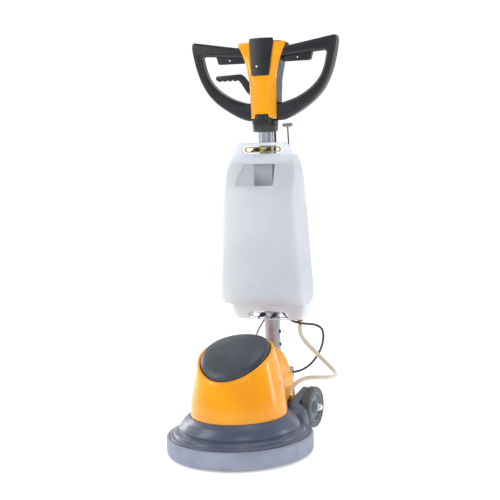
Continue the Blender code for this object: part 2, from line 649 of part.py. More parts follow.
def make_tank():
    block = [(TANK_BOTTOM, 0.1040, WEB_FRONT + 0.004), (0.3540, 0.1100, WEB_FRONT), (0.3700, 0.1200, WEB_FRONT - 0.001),
             (0.3900, 0.1260, WEB_FRONT - 0.002), (0.4030, 0.1265, WEB_FRONT - 0.002)]
    tank = loft("tank", [tank_ring(*level) for level in TANK_LEVELS], "tank_plastic")
    boolean(tank, loft("tank_foot", [block_ring(*level) for level in block]), "UNION")
    tab = [(-0.1030, 0.8360), (0.1030, 0.8360), (0.0975, 0.8640), (0.0880, 0.8850), (0.0780, 0.8925), (0.0660, TANK_TOP),
           (-0.0660, TANK_TOP), (-0.0780, 0.8925), (-0.0880, 0.8850), (-0.0975, 0.8640)]
    boolean(tank, plate("tank_tab", [tab], WEB_BACK - WEB_FRONT, None, facing_front((WEB_BACK + WEB_FRONT) / 2)), "UNION")
    past = TANK_BACK + 0.02
    boolean(tank, box("tube_channel", (-CHANNEL_X, WEB_BACK, 0.3), (CHANNEL_X, past, 0.95)))
    boolean(tank, box("lower_recess", (-0.0700, WEB_BACK, 0.3), (0.0700, past, 0.3860)))
    boolean(tank, box("upper_recess", (-0.0700, WEB_BACK, 0.8460), (0.0700, past, 0.95)))
    for z in (UPPER_SLOT_Z, LOWER_SLOT_Z):
        boolean(tank, plate("slot", [slot_outline(z)], 0.060, None, facing_front(WEB_FRONT - 0.010)))
    inner = [tank_ring(z, w, edge, front, TANK_WALL) for z, w, edge, front in TANK_LEVELS[1:-2]]
    boolean(tank, loft("tank_inside", inner))
    for side in (-1, 1):
        low = (min(side * 0.0740, side * 0.1000), WEB_BACK + 0.003, 0.3540)
        high = (max(side * 0.0740, side * 0.1000), TANK_BACK - TANK_WALL, 0.4060)
        boolean(tank, box("lobe_inside", low, high))
    boolean(tank, box("mouth", (-0.0610, 0.120, 0.7660), (0.0610, 0.222, 0.8290)))
    boolean(tank, cylinder("rod_hole", 0.0050, (0.0770, TUBE_Y, 0.82), (0.0755, TUBE_Y, 0.88), sides=16))
    boolean(tank, cylinder("outlet_hole", 0.0045, (VALVE_SEAT.x, TUBE_Y, 0.34), (VALVE_SEAT.x, TUBE_Y, 0.36), sides=16))


def make_valve():
    barb = [(0.0090, 0), (0.0090, -0.0070), (0.0040, -0.0070), (0.0034, -0.0180), (0.0022, -0.0180), (0.0022, 0)]
    turned("outlet_barb", barb, "brass", 16, (VALVE_SEAT.x, TUBE_Y, TANK_BOTTOM - GAP), closed=True)
    length = (VALVE_TOP - VALVE_SEAT).length
    lean = (VALVE_TOP - VALVE_SEAT).to_track_quat("Z", "Y").to_euler()
    rod = [(0, length), (0.0022, length), (0.0022, 0.0150), (0.0070, 0.0120), (0.0070, 0.0030), (0.0055, 0), (0, 0)]
    turned("valve_rod", rod, "brass", 12, VALVE_SEAT, lean)
    knob = [(0, 0.0120), (0.0120, 0.0118), (0.0152, 0.0100), (0.0156, 0.0050), (0.0150, 0.0022), (0.0110, 0.0010),
            (0.0060, GAP), (0, GAP)]
    turned("valve_knob", knob, "hub", 24, VALVE_TOP, lean)


def make_brackets():
    for word, z, lever_turn in (("upper", UPPER_SLOT_Z, 25), ("lower", LOWER_SLOT_Z, 40)):
        outline = slot_outline(z, 0.0600, 0.0085)
        window = slot_outline(z, WINDOW_HALF, WINDOW_R)
        windows = [[(x + side * WINDOW_X, height) for x, height in window] for side in (-1, 1)]
        plate(word + "_bracket", [outline] + windows, 0.0022, "zinc", facing_front(0.2368))
        for hand, side in (("left", -1), ("right", 1)):
            place = (side * LATCH_X, 0, z)
            latch = turned(f"{word}_latch_{hand}", [(0, 0.0125), (0.0060, 0.0115), (0.0068, 0.0050), (0.0040, 0.0040),
                           (0.0040, 0), (0, 0)], "black_plastic", 14, (place[0], 0.2354, z), (pi / 2, 0, 0))
            bar = [(-0.003, -0.003), (0.0125, -0.0024), (0.0140, 0), (0.0125, 0.0024), (-0.003, 0.003)]
            spot = Matrix.Translation((place[0], 0.2242, z)) @ Matrix.Rotation(pi / 2, 4, "X")
            spot = spot @ Matrix.Rotation(radians(180 + lever_turn), 4, "Z")
            boolean(latch, plate("latch_bar", [bar], 0.0040, None, spot), "UNION")


# ---------------------------------------------------------------- head

FRAME_OUTER = [(0.030, 0.990), (0.043, 0.958), (0.085, 0.967), (0.140, 0.9985), (0.172, 1.0245), (0.195, 1.0520),
               (0.216, 1.0920), (0.231, 1.1400), (0.2385, 1.1800), (0.2380, 1.1960), (0.2320, 1.2030)]
FRAME_HOLE = [(0.2060, 1.1540), (0.2030, 1.1400), (0.1960, 1.1130), (0.1830, 1.0850), (0.1640, 1.0630),
              (0.1400, 1.0440), (0.1020, 1.0240), (0.0600, 1.0110)]


def make_frame():
    outer = [(p.x, p.y) for p in smooth_points([(x, z, 0) for x, z in FRAME_OUTER], 2)]
    outer = [(0.0, 0.990)] + outer + [(0.2240, 1.2020), (0.0900, 1.1805), (0.0, 1.1760)]
    outline = outer + [(-x, z) for x, z in reversed(outer[1:-1])]
    hole = [(p.x, p.y) for p in smooth_points([(x, z, 0) for x, z in FRAME_HOLE], 2)]
    hole += [(0.0180, 1.0110), (0.0180, 1.1450), (0.0620, 1.1480), (0.2000, 1.1585)]
    holes = [hole, [(-x, z) for x, z in reversed(hole)]]
    middle = (FRAME_FRONT + FRAME_BACK) / 2
    frame = plate("handle_frame", [outline] + holes, FRAME_BACK - FRAME_FRONT, "black_plastic",
                  facing_front(middle), 0.0085, 2)
    for side in (-1, 1):
        low = (min(side * 0.0560, side * 0.1610), TRIGGER_Y - 0.0095, 1.1300)
        high = (max(side * 0.0560, side * 0.1610), TRIGGER_Y + 0.0095, 1.1730)
        boolean(frame, box("trigger_slot", low, high))
    boolean(frame, cylinder("frame_socket", TUBE_R + GAP, (0, TUBE_Y, 0.95), (0, TUBE_Y, TUBE_TOP + GAP), sides=32))


SHELL_OUTLINE = [(0.0275, 0.9640), (0.0420, 0.9640), (0.0425, 1.0000), (0.0435, 1.0400), (0.0455, 1.0820), (0.0520, 1.1180),
                 (0.0640, 1.1550), (0.0790, 1.1880), (0.0500, 1.1925), (0.0, 1.1940)]


def lean_back(thing, front, back, amount=0.16, from_z=1.06):
    """Leans the front face of a plate towards the back above a height."""
    for vertex in thing.data.vertices:
        place = thing.matrix_world @ vertex.co
        share = max(0.0, min(1.0, (back - place.y) / (back - front)))
        place.y += share * amount * max(0.0, place.z - from_z)
        vertex.co = thing.matrix_world.inverted() @ place


def make_shells():
    half = [(0.0, 0.9780), (0.0205, 0.9780)] + SHELL_OUTLINE
    outline = half + [(-x, z) for x, z in reversed(half[1:-1])]
    back = FRAME_FRONT - GAP
    front = plate("front_shell", [outline], back - SHELL_FRONT, "yellow_plastic", facing_front((back + SHELL_FRONT) / 2))
    lean_back(front, SHELL_FRONT, back)
    rounding = front.modifiers.new("Round", "BEVEL")
    rounding.width = 0.004
    rounding.segments = 2
    rounding.limit_method = "ANGLE"
    rounding.angle_limit = radians(50)
    inner = [(x * 0.86, 1.08 + (z - 1.08) * 0.92) for x, z in outline]
    hollow = plate("front_hollow", [inner], 0.030, None, facing_front(SHELL_FRONT + 0.0045 + 0.015))
    lean_back(hollow, SHELL_FRONT + 0.0045, back + 0.01)
    boolean(front, hollow)
    boolean(front, cylinder("front_socket", TUBE_R + GAP, (0, TUBE_Y, 0.95), (0, TUBE_Y, TUBE_TOP + GAP), sides=32))
    back_half = [(0.0400, 0.9850), (0.0410, 1.0100), (0.0425, 1.0400), (0.0450, 1.0800),
                 (0.0560, 1.1300), (0.0740, 1.1870), (0.0500, 1.1970), (0.0, 1.1990)]
    rear_outline = back_half + [(-x, z) for x, z in reversed(back_half[:-1])]
    start = FRAME_FRONT + GAP
    rear = plate("rear_shell", [rear_outline], REAR_SHELL_BACK - start, "shell_plastic",
                 facing_front((REAR_SHELL_BACK + start) / 2), 0.005, 2)
    inner = [(x * 0.90, 1.09 + (z - 1.09) * 0.94) for x, z in rear_outline]
    boolean(rear, plate("rear_hollow", [inner], 0.060, None, facing_front(REAR_SHELL_BACK - 0.0035 - 0.030)))
    low_y, high_y = FRAME_FRONT - 0.01, FRAME_BACK + GAP
    boolean(rear, box("grip_clearance", (-0.10, low_y, 1.1440), (0.10, high_y, 1.25)))
    boolean(rear, box("loop_clearance", (-0.10, low_y, 0.95), (0.10, high_y, 1.0125)))
    boolean(rear, box("lever_slot", (-0.060, low_y, 1.0300), (-0.0360, 0.2720, 1.0970)))
    make_panel(back)


def make_panel(back):
    half = [(0.0, 1.0930), (0.0285, 1.0930), (0.0400, 1.1960), (0.0385, 1.2010), (0.0340, 1.2040), (0.0, 1.2060)]
    outline = half + [(-x, z) for x, z in reversed(half[1:-1])]
    panel = plate("insert_panel", [outline], 0.0035, "black_plastic", facing_front(SHELL_FRONT - GAP - 0.00175))
    for vertex in panel.data.vertices:
        place = panel.matrix_world @ vertex.co
        place.y += 0.16 * (place.z - 1.06)
        vertex.co = panel.matrix_world.inverted() @ place
    lens_z = 1.1205
    lens_y = SHELL_FRONT - GAP - 0.0035 + 0.16 * (lens_z - 1.06) - 2 * GAP
    turned("status_lens", [(0, 0.0012), (0.0017, 0.0009), (0.0026, 0), (0, 0)], "lens", 12, (-0.0115, lens_y, lens_z),
           (pi / 2, 0, 0))


def make_collar():
    rings = []
    for z, w, front, back in ((0.9240, 0.0350, 0.2370, 0.2890), (0.9270, 0.0370, 0.2355, 0.2900),
                              (0.9560, 0.0400, 0.2345, 0.2900), (0.9628, 0.0372, 0.2345, 0.2880), (0.9632, 0.0275, 0.2345, 0.2545),
                              (0.9765, 0.0195, 0.2345, 0.2545)):
        corner = min(0.022, (back - front) / 2 - 0.001)
        ring = []
        for cx, cy, turn in ((w - corner, back - corner, 0), (corner - w, back - corner, 1),
                             (corner - w, front + corner, 2), (w - corner, front + corner, 3)):
            for i in range(5):
                angle = turn * pi / 2 + i * pi / 8
                ring.append(Vector((cx + corner * cos(angle), cy + corner * sin(angle), z)))
        rings.append(ring)
    collar = loft("head_collar", rings, "black_plastic")
    boolean(collar, cylinder("collar_bore", TUBE_R + GAP, (0, TUBE_Y, 0.90), (0, TUBE_Y, 1.0), sides=32))


def make_controls():
    lever_top = [(-0.0235, 1.0395), (-0.0480, 1.0720), (-0.0640, 1.0930), (-0.0760, 1.1010), (-0.1180, 1.0990),
                 (-0.1580, 1.0975), (-0.1600, 1.0880), (-0.1545, 1.0830)]
    bumps = []
    for i in range(4):
        x = -0.1480 + 0.0165 * i
        rise = 0.0003 * i * i
        bumps += [(x - 0.004, 1.0825 + rise), (x, 1.0800), (x + 0.004, 1.0801), (x + 0.008, 1.0838 - rise)]
    lever_end = [(-0.0850, 1.0830), (-0.0760, 1.0750), (-0.0560, 1.0440)]
    eye = [(LEVER_PIVOT.x + 0.008 * cos(radians(a)), LEVER_PIVOT.z + 0.008 * sin(radians(a))) for a in range(215, 391, 35)]
    lever = plate("lock_lever", [lever_top + bumps + lever_end + eye], 0.0120, "black_plastic",
                  facing_front(LEVER_PIVOT.y))
    low, high = LEVER_PIVOT - Vector((0, 0.02, 0)), LEVER_PIVOT + Vector((0, 0.02, 0))
    boolean(lever, cylinder("lever_bore", 0.0030 + GAP, low, high, sides=16))
    pin_start, pin_end = LEVER_PIVOT.copy(), LEVER_PIVOT.copy()
    pin_start.y, pin_end.y = FRAME_FRONT + 0.0010, 0.2850
    cylinder("lever_pin", 0.0030, pin_start, pin_end, "steel", 12)
    outline = [(0.0620, 1.1340), (0.0660, 1.1315), (0.1480, 1.1320), (0.1520, 1.1345), (0.1585, 1.1570), (0.1560, 1.1600),
               (0.0660, 1.1580), (0.0620, 1.1550)]
    for word, side in (("left", -1), ("right", 1)):
        points = [(side * x, z) for x, z in outline]
        trigger = plate("trigger_" + word, [points], 0.0160, "black_plastic", facing_front(TRIGGER_Y), 0.0015, 1)
        hole = cylinder("trigger_hole", 0.0026, (side * 0.1120, 0.25, 1.1430), (side * 0.1120, 0.30, 1.1430), sides=12)
        boolean(trigger, hole)


# ---------------------------------------------------------------- hose, lead and lock cable

HOSE_ROUTE = [(0.0925, 0.2620, 0.3312), (0.0928, 0.2615, 0.3120), (0.0990, 0.2590, 0.2960), (0.1150, 0.2540, 0.2780),
              (0.1420, 0.2490, 0.2560), (0.1690, 0.2450, 0.2330), (0.1960, 0.2380, 0.2130), (0.2160, 0.2220, 0.2010),
              (0.2270, 0.1980, 0.1960), (0.2220, 0.1740, 0.1960), (0.2060, 0.1560, 0.1980), (0.1840, 0.1460, 0.1990),
              (0.1600, 0.1400, 0.1970), (0.1360, 0.1370, 0.1870), (0.1180, 0.1360, 0.1710), (0.1080, 0.1360, 0.1560),
              (0.1062, 0.1360, 0.1432)]
LEAD_ROUTE = [(0.0250, 0.2765, 0.9237), (0.0250, 0.2770, 0.9000), (0.0215, 0.2810, 0.8700), (0.0180, 0.2850, 0.8300),
              (0.0180, 0.2850, 0.7000), (0.0180, 0.2850, 0.5500), (0.0180, 0.2850, 0.4200), (0.0230, 0.2870, 0.3700),
              (0.0440, 0.2900, 0.3430), (0.0720, 0.2930, 0.3320), (0.1020, 0.2950, 0.3290), (0.1300, 0.2950, 0.3270),
              (0.1500, 0.2930, 0.3170), (0.1570, 0.2900, 0.2960), (0.1530, 0.2850, 0.2650), (0.1400, 0.2790, 0.2360),
              (0.1210, 0.2720, 0.2100), (0.0980, 0.2640, 0.1930), (0.0790, 0.2540, 0.1865), (0.0670, 0.2450, 0.1860),
              (0.0660, 0.2393, 0.1860)]
CABLE_ROUTE = [(-0.0180, 0.2865, 0.9237), (-0.0180, 0.2860, 0.8900), (-0.0170, 0.2855, 0.8000), (-0.0170, 0.2855, 0.6000),
               (-0.0170, 0.2855, 0.4400), (-0.0210, 0.2855, 0.3800), (-0.0330, 0.2820, 0.3450), (-0.0500, 0.2760, 0.3150),
               (-0.0620, 0.2700, 0.2850), (-0.0590, 0.2650, 0.2560), (-0.0440, 0.2630, 0.2370), (-0.0345, 0.2620, 0.2240),
               (LOCK_X, TUBE_Y, 0.2160)]


def spaced_route(route, spacing):
    """Points at even spacing on the smooth curve through the route."""
    fine = smooth_points(route, 12)
    total = sum((b - a).length for a, b in zip(fine, fine[1:]))
    count = round(total / spacing)
    step, travelled, result = total / count, 0.0, [fine[0]]
    for a, b in zip(fine, fine[1:]):
        span = (b - a).length
        while len(result) < count and travelled + span >= len(result) * step:
            result.append(a.lerp(b, (len(result) * step - travelled) / span))
        travelled += span
    return result + [fine[-1]]


def make_cords():
    tube("water_hose", spaced_route(HOSE_ROUTE, 0.025), HOSE_R, "hose")
    tube("power_lead", spaced_route(LEAD_ROUTE, 0.018), LEAD_R, "cord")
    tube("lock_cable", spaced_route(CABLE_ROUTE, 0.0145), CABLE_R, "cord")


# ---------------------------------------------------------------- moving groups

HANDLE_PARTS = ["handle_yoke", "handle_tube", "tube_bolt_upper", "tube_bolt_lower", "lock_spring", "tank",
                "outlet_barb", "upper_bracket", "lower_bracket", "head_collar", "handle_frame", "front_shell",
                "rear_shell", "insert_panel", "status_lens", "lever_pin", "water_hose", "power_lead", "lock_cable"]


def pivot(name, place, members, parent=None):
    """An empty on a joint's axis that carries the pieces turning or sliding there."""
    carrier = bpy.data.objects.new(name, None)
    PARTS.objects.link(carrier)
    carrier.location = place
    if parent:
        carrier.parent = parent
        carrier.matrix_parent_inverse = Matrix.Translation(parent.location).inverted()
    for member in members:
        thing = bpy.data.objects[member]
        thing.parent = carrier
        thing.matrix_parent_inverse = Matrix.Translation(place).inverted()
    return carrier


def hang_moving_groups():
    brush = pivot("brush_axis", (0, 0, 0.030), ["planet_carrier", "pad_driver", "floor_pad"])
    for i in range(3):
        angle = 2 * pi * i / 3
        place = (PLANET_ORBIT_R * cos(angle), PLANET_ORBIT_R * sin(angle), (GEAR_BOTTOM + GEAR_TOP) / 2)
        pivot(f"planet_axis_{i + 1}", place, [f"planet_gear_{i + 1}"], brush)
    pivot("motor_axis", (0, 0, 0.158), ["motor_rotor", "cooling_fan"])
    handle = pivot("handle_axis", (0, AXLE_Y, AXLE_Z), HANDLE_PARTS)
    pivot("plunger_line", (LOCK_X, TUBE_Y, 0.2050), ["lock_plunger"], handle)
    pivot("lever_axis", tuple(LEVER_PIVOT), ["lock_lever"], handle)
    pivot("valve_line", tuple(VALVE_SEAT), ["valve_rod", "valve_knob"], handle)
    for word, side in (("left", -1), ("right", 1)):
        wheel = (side * WHEEL_X, AXLE_Y, AXLE_Z)
        pivot(f"wheel_axis_{word}", wheel, ["wheel_tyre_" + word, "wheel_hub_" + word])
        trigger = (side * TRIGGER_PIVOT_X, TRIGGER_Y, TRIGGER_PIVOT_Z)
        pivot(f"trigger_axis_{word}", trigger, ["trigger_" + word], handle)
        for level, z in (("upper", UPPER_SLOT_Z), ("lower", LOWER_SLOT_Z)):
            pivot(f"{level}_latch_axis_{word}", (side * LATCH_X, 0.2354, z), [f"{level}_latch_{word}"], handle)


make_deck()
make_brush_drive()
make_gearbox()
make_motor()
make_covers()
make_wheels()
make_yoke()
make_quadrant()
make_tank()
make_valve()
make_brackets()
make_frame()
make_shells()
make_collar()
make_controls()
make_cords()
hang_moving_groups()
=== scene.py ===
"""Looks of a single-disc floor scrubber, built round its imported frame.

Metres, +Z up. The brush axis is X = Y = 0, the front is -Y, and the handle stands on the +Y side.
"""
from math import pi, cos, sin, radians
import bmesh
import bpy
from mathutils import Matrix, Vector


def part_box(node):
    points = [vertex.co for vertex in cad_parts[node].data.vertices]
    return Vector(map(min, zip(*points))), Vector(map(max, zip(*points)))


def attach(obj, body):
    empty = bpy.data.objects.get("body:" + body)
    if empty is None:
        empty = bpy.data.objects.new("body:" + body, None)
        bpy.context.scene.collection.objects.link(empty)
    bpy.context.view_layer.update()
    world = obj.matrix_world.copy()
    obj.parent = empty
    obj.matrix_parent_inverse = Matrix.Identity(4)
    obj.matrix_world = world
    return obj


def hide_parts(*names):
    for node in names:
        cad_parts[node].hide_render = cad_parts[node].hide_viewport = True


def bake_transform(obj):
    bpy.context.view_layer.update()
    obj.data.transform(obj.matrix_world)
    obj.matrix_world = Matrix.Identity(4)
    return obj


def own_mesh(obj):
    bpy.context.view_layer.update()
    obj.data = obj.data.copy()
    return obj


SHARP = 38                                       # degrees: an edge that turns more is drawn sharp

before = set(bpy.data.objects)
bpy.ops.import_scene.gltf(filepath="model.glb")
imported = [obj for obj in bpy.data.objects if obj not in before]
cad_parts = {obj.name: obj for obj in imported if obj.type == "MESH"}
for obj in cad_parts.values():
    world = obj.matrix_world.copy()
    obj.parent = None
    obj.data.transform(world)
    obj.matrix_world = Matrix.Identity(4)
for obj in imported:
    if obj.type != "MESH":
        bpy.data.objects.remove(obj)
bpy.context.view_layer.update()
SCENE = bpy.context.scene
GAP = 0.0003


# ---------------------------------------------------------------- sizes taken from the frame

def middle(node):
    low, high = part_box(node)
    return (low + high) / 2


AXLE = middle("wheel_axle")
TUBE = middle("handle_tube")
TUBE_R = (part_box("handle_tube")[1].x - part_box("handle_tube")[0].x) / 2
TUBE_BOTTOM, TUBE_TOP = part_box("handle_tube")[0].z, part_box("handle_tube")[1].z
SKIRT_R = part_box("bumper_skirt")[1].x
SKIRT_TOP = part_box("bumper_skirt")[1].z
DECK_TOP = 0.1165
DECK_R = 0.2045
COVER_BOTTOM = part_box("motor_cover")[0].z
TANK_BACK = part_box("tank")[1].y
TANK_BOTTOM, TANK_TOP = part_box("tank")[0].z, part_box("tank")[1].z
FRAME_FRONT, FRAME_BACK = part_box("handle_frame")[0].y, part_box("handle_frame")[1].y
SHELL_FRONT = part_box("front_shell")[0].y
REAR_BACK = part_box("rear_shell")[1].y
WEB_FRONT, WEB_BACK = 0.2280, 0.2350
UPPER_SLOT_Z = middle("upper_bracket").z
LOWER_SLOT_Z = middle("lower_bracket").z
LEVER_PIN = middle("lever_pin")
TRIGGER_Y = middle("trigger_right").y
VALVE_TOP = Vector((0.0735, TUBE.y, 0.936))
VALVE_SEAT = Vector((0.0925, TUBE.y, 0.3565))
BARB_X, BARB_Y = 0.106, 0.136                    # the hose inlet on the deck
GLAND_X, GLAND_Z = 0.0660, 0.186                 # the lead's gland on the rear cover
WINDOW_X, WINDOW_HALF, WINDOW_R = 0.0425, 0.0125, 0.0052  # the windows of each tank bracket
LEAN, LEAN_FROM = 0.16, 1.06                     # the head's face leans back above this height
SHELL_TOP, SHELL_TOP_HALF, SHELL_BEVEL = 1.1880, 0.0790, 0.0065
TRIGGER_PIN_X, TRIGGER_PIN_Z = 0.1120, 1.1430
HOSE_R, LEAD_R, CABLE_R = 0.0065, 0.0036, 0.0024


# ---------------------------------------------------------------- materials

def shade(code):
    """sRGB hex to linear colour."""
    channels = [int(code[i:i + 2], 16) / 255 for i in (0, 2, 4)]
    return tuple(c / 12.92 if c <= 0.04045 else ((c + 0.055) / 1.055) ** 2.4 for c in channels) + (1.0,)


def node(tree, kind, inputs=None, **settings):
    """Adds a node, sets its properties, and links or sets its inputs."""
    made = tree.nodes.new(kind)
    for key, value in settings.items():
        setattr(made, key, value)
    for key, value in (inputs or {}).items():
        if isinstance(value, bpy.types.NodeSocket):
            tree.links.new(value, made.inputs[key])
        else:
            made.inputs[key].default_value = value
    return made


def per_mm(size):
    """Texture scale whose features are this many millimetres across."""
    return 1000.0 / size


def blank(name, roughness, metallic=0.0, **sockets):
    """A material with one Principled shader; constant finishes go straight on its sockets."""
    material = bpy.data.materials.new(name)
    material.use_nodes = True
    tree = material.node_tree
    shader = tree.nodes["Principled BSDF"]
    shader.inputs["Roughness"].default_value = roughness
    shader.inputs["Metallic"].default_value = metallic
    for key, value in sockets.items():
        shader.inputs[key.replace("_", " ")].default_value = value
    place = node(tree, "ShaderNodeTexCoord").outputs["Object"]
    return material, tree, shader, place


def drift(tree, shader, place, first, second, size, detail=3.0, low=0.35, high=0.65):
    """Lets the colour wander between two shades over patches of this size."""
    noise = node(tree, "ShaderNodeTexNoise", {"Vector": place, "Scale": per_mm(size), "Detail": detail})
    ramp = node(tree, "ShaderNodeValToRGB", {"Fac": noise.outputs["Fac"]})
    ramp.color_ramp.elements[0].position = low
    ramp.color_ramp.elements[0].color = shade(first)
    ramp.color_ramp.elements[1].position = high
    ramp.color_ramp.elements[1].color = shade(second)
    tree.links.new(ramp.outputs["Color"], shader.inputs["Base Color"])
    return ramp


def vary_gloss(tree, shader, place, low, high, size):
    """Handling marks: the roughness moves between two values over patches of this size."""
    noise = node(tree, "ShaderNodeTexNoise", {"Vector": place, "Scale": per_mm(size), "Detail": 5.0})
    spread = node(tree, "ShaderNodeMapRange", {"Value": noise.outputs["Fac"], "From Min": 0.35, "From Max": 0.65,
                                               "To Min": low, "To Max": high})
    tree.links.new(spread.outputs["Result"], shader.inputs["Roughness"])


def relief(tree, shader, heights):
    """Chains bump nodes: each entry is (height socket, depth in mm, strength)."""
    last = None
    for height, depth, strength in heights:
        inputs = {"Height": height, "Distance": depth / 1000, "Strength": strength}
        if last:
            inputs["Normal"] = last
        last = node(tree, "ShaderNodeBump", inputs).outputs["Normal"]
    tree.links.new(last, shader.inputs["Normal"])


def grains(tree, place, size, detail=2.0):
    return node(tree, "ShaderNodeTexNoise", {"Vector": place, "Scale": per_mm(size), "Detail": detail}).outputs["Fac"]


def cells(tree, place, size, feature="F1"):
    made = node(tree, "ShaderNodeTexVoronoi", {"Vector": place, "Scale": per_mm(size)}, feature=feature)
    return made.outputs["Distance"]


def moulded_plastic(name, first, second, gloss, patch, grain, depth, **sockets):
    """Injection-moulded shell: colour drift from the melt's flow, gloss that handling has varied, and
    the tool's texture, drawn at a few millimetres so that it shows at the size of a whole machine."""
    material, tree, shader, place = blank(name, gloss[0], **sockets)
    drift(tree, shader, place, first, second, patch)
    vary_gloss(tree, shader, place, gloss[0], gloss[1], patch * 0.6)
    relief(tree, shader, [(grains(tree, place, grain), depth, 0.5),
                          (grains(tree, place, grain * 9, 1.0), depth * 4, 0.35)])
    return material


def glossy_abs():
    """Polished orange-yellow ABS: deep colour, a hard clear skin, and a faint orange-peel waviness."""
    return moulded_plastic("glossy_yellow_abs", "f79d00", "ffab00", (0.20, 0.30), 120, 7.0, 0.012,
                           IOR=1.50, Coat_Weight=0.20, Coat_Roughness=0.10, Coat_IOR=1.5, Specular_IOR_Level=0.4)


def satin_abs():
    """Blue-grey ABS for the deck: satin, finely spark-eroded, picked out by broad soft highlights."""
    return moulded_plastic("satin_deck_abs", "3f4960", "4b566e", (0.33, 0.44), 90, 2.2, 0.03, IOR=1.53,
                           Coat_Weight=0.18, Coat_Roughness=0.25)


def leather_grain_abs():
    """Dark grey ABS for the cap: a pebbled, leather-like tool grain that breaks up its sheen."""
    material, tree, shader, place = blank("grained_cap_abs", 0.46, IOR=1.53)
    drift(tree, shader, place, "33383f", "3f464f", 60)
    vary_gloss(tree, shader, place, 0.40, 0.52, 40)
    pebble = cells(tree, place, 2.6, "SMOOTH_F1")
    relief(tree, shader, [(pebble, 0.10, 0.55), (grains(tree, place, 1.0), 0.02, 0.4)])
    return material


def soft_pvc():
    """Light grey soft PVC bumper: matt, with the faint level lines of its extrusion and pale scuffs."""
    material, tree, shader, place = blank("soft_pvc_bumper", 0.62, IOR=1.52, Specular_IOR_Level=0.4)
    drift(tree, shader, place, "878da1", "989eb1", 70, 6.0)
    vary_gloss(tree, shader, place, 0.52, 0.70, 25)
    lines = node(tree, "ShaderNodeTexWave", {"Vector": place, "Scale": per_mm(24), "Distortion": 0.3, "Detail": 2.0},
                 bands_direction="Z").outputs["Fac"]
    relief(tree, shader, [(lines, 0.03, 0.35), (grains(tree, place, 1.6), 0.04, 0.4)])
    return material


def filled_nylon():
    """Black glass-filled nylon for the handle and controls: satin, with short glass fibres that
    streak its gloss."""
    material, tree, shader, place = blank("glass_filled_nylon", 0.34, IOR=1.53, Coat_Weight=0.12, Coat_Roughness=0.3)
    drift(tree, shader, place, "0b0d13", "141820", 45, 4.0)
    stretched = node(tree, "ShaderNodeMapping", {"Vector": place, "Scale": (1.0, 1.0, 0.25)}).outputs["Vector"]
    vary_gloss(tree, shader, stretched, 0.27, 0.35, 6)
    relief(tree, shader, [(grains(tree, place, 1.2), 0.03, 0.5), (grains(tree, place, 30, 1.0), 0.08, 0.3)])
    return material


def grey_abs():
    """Mid grey ABS for the rear half of the head."""
    return moulded_plastic("grey_shell_abs", "3c4454", "485062", (0.36, 0.46), 70, 2.0, 0.03, IOR=1.53)


def blown_polythene():
    """Milky blow-moulded polythene: light sinks in and spreads, so edges glow, and a faint painted glow
    stands in for light through the thin wall from behind; its uneven thickness shows as clouds, and the skin ripples."""
    material, tree, shader, place = blank("blown_polythene", 0.40, IOR=1.51, Subsurface_Weight=0.55,
                                          Subsurface_Scale=0.030, Specular_IOR_Level=0.4)
    shader.inputs["Subsurface Radius"].default_value = (1.0, 1.05, 1.2)
    drift(tree, shader, place, "cdd5e3", "d8dfea", 190, 2.0)
    # painted glow: a faint emission brightens the whole tank, standing in for light coming through its walls
    shader.inputs["Emission Color"].default_value = shade("dce6f5")
    shader.inputs["Emission Strength"].default_value = 0.03
    vary_gloss(tree, shader, place, 0.34, 0.48, 50)
    relief(tree, shader, [(grains(tree, place, 46, 1.0), 0.9, 0.30), (grains(tree, place, 3.0), 0.03, 0.4)])
    return material


def powder_coat():
    """Silver-grey powder coat on steel tube: pebbly, half-metallic, with a soft sheen down its length."""
    material, tree, shader, place = blank("silver_powder_coat", 0.36, 0.35, Coat_Weight=0.25, Coat_Roughness=0.18)
    drift(tree, shader, place, "9097a6", "a2a8b5", 30, 6.0)
    vary_gloss(tree, shader, place, 0.30, 0.42, 15)
    relief(tree, shader, [(cells(tree, place, 1.4, "SMOOTH_F1"), 0.04, 0.45)])
    return material


def zinc_passivate(name, colours):
    """Passivated zinc plate: thin-film colour that drifts over a bright rolled sheet."""
    material, tree, shader, place = blank(name, 0.32, 1.0)
    ramp = drift(tree, shader, place, colours[0], colours[2], 16, 4.0, 0.30, 0.72)
    ramp.color_ramp.elements.new(0.5).color = shade(colours[1])
    vary_gloss(tree, shader, place, 0.24, 0.42, 8)
    relief(tree, shader, [(grains(tree, place, 0.9), 0.015, 0.5)])
    return material


def machined(name, first, second, gloss, axis="Z"):
    """Turned or ground metal: fine tool lines across the axis and a slightly uneven polish."""
    material, tree, shader, place = blank(name, gloss, 1.0)
    drift(tree, shader, place, first, second, 12, 4.0)
    vary_gloss(tree, shader, place, gloss * 0.8, gloss * 1.35, 6)
    lines = node(tree, "ShaderNodeTexWave", {"Vector": place, "Scale": per_mm(7.2), "Distortion": 0.6},
                 bands_direction=axis).outputs["Fac"]
    relief(tree, shader, [(lines, 0.01, 0.4)])
    return material


def cast_aluminium():
    """Die-cast aluminium, shot-blasted: dull grey and sandy, its grey wandering in patches."""
    material, tree, shader, place = blank("blasted_aluminium", 0.50, 0.85)
    drift(tree, shader, place, "7c8188", "989da4", 20, 6.0)
    vary_gloss(tree, shader, place, 0.42, 0.60, 10)
    relief(tree, shader, [(grains(tree, place, 1.3, 4.0), 0.08, 0.6)])
    return material


def chrome_plate():
    """Bright chrome on a pressed steel nut: near-mirror, with faint water marks."""
    material, tree, shader, place = blank("chrome_plate", 0.08, 1.0)
    drift(tree, shader, place, "d9dbde", "e8eaec", 8)
    vary_gloss(tree, shader, place, 0.05, 0.14, 5)
    relief(tree, shader, [(grains(tree, place, 4.0, 1.0), 0.006, 0.4)])
    return material


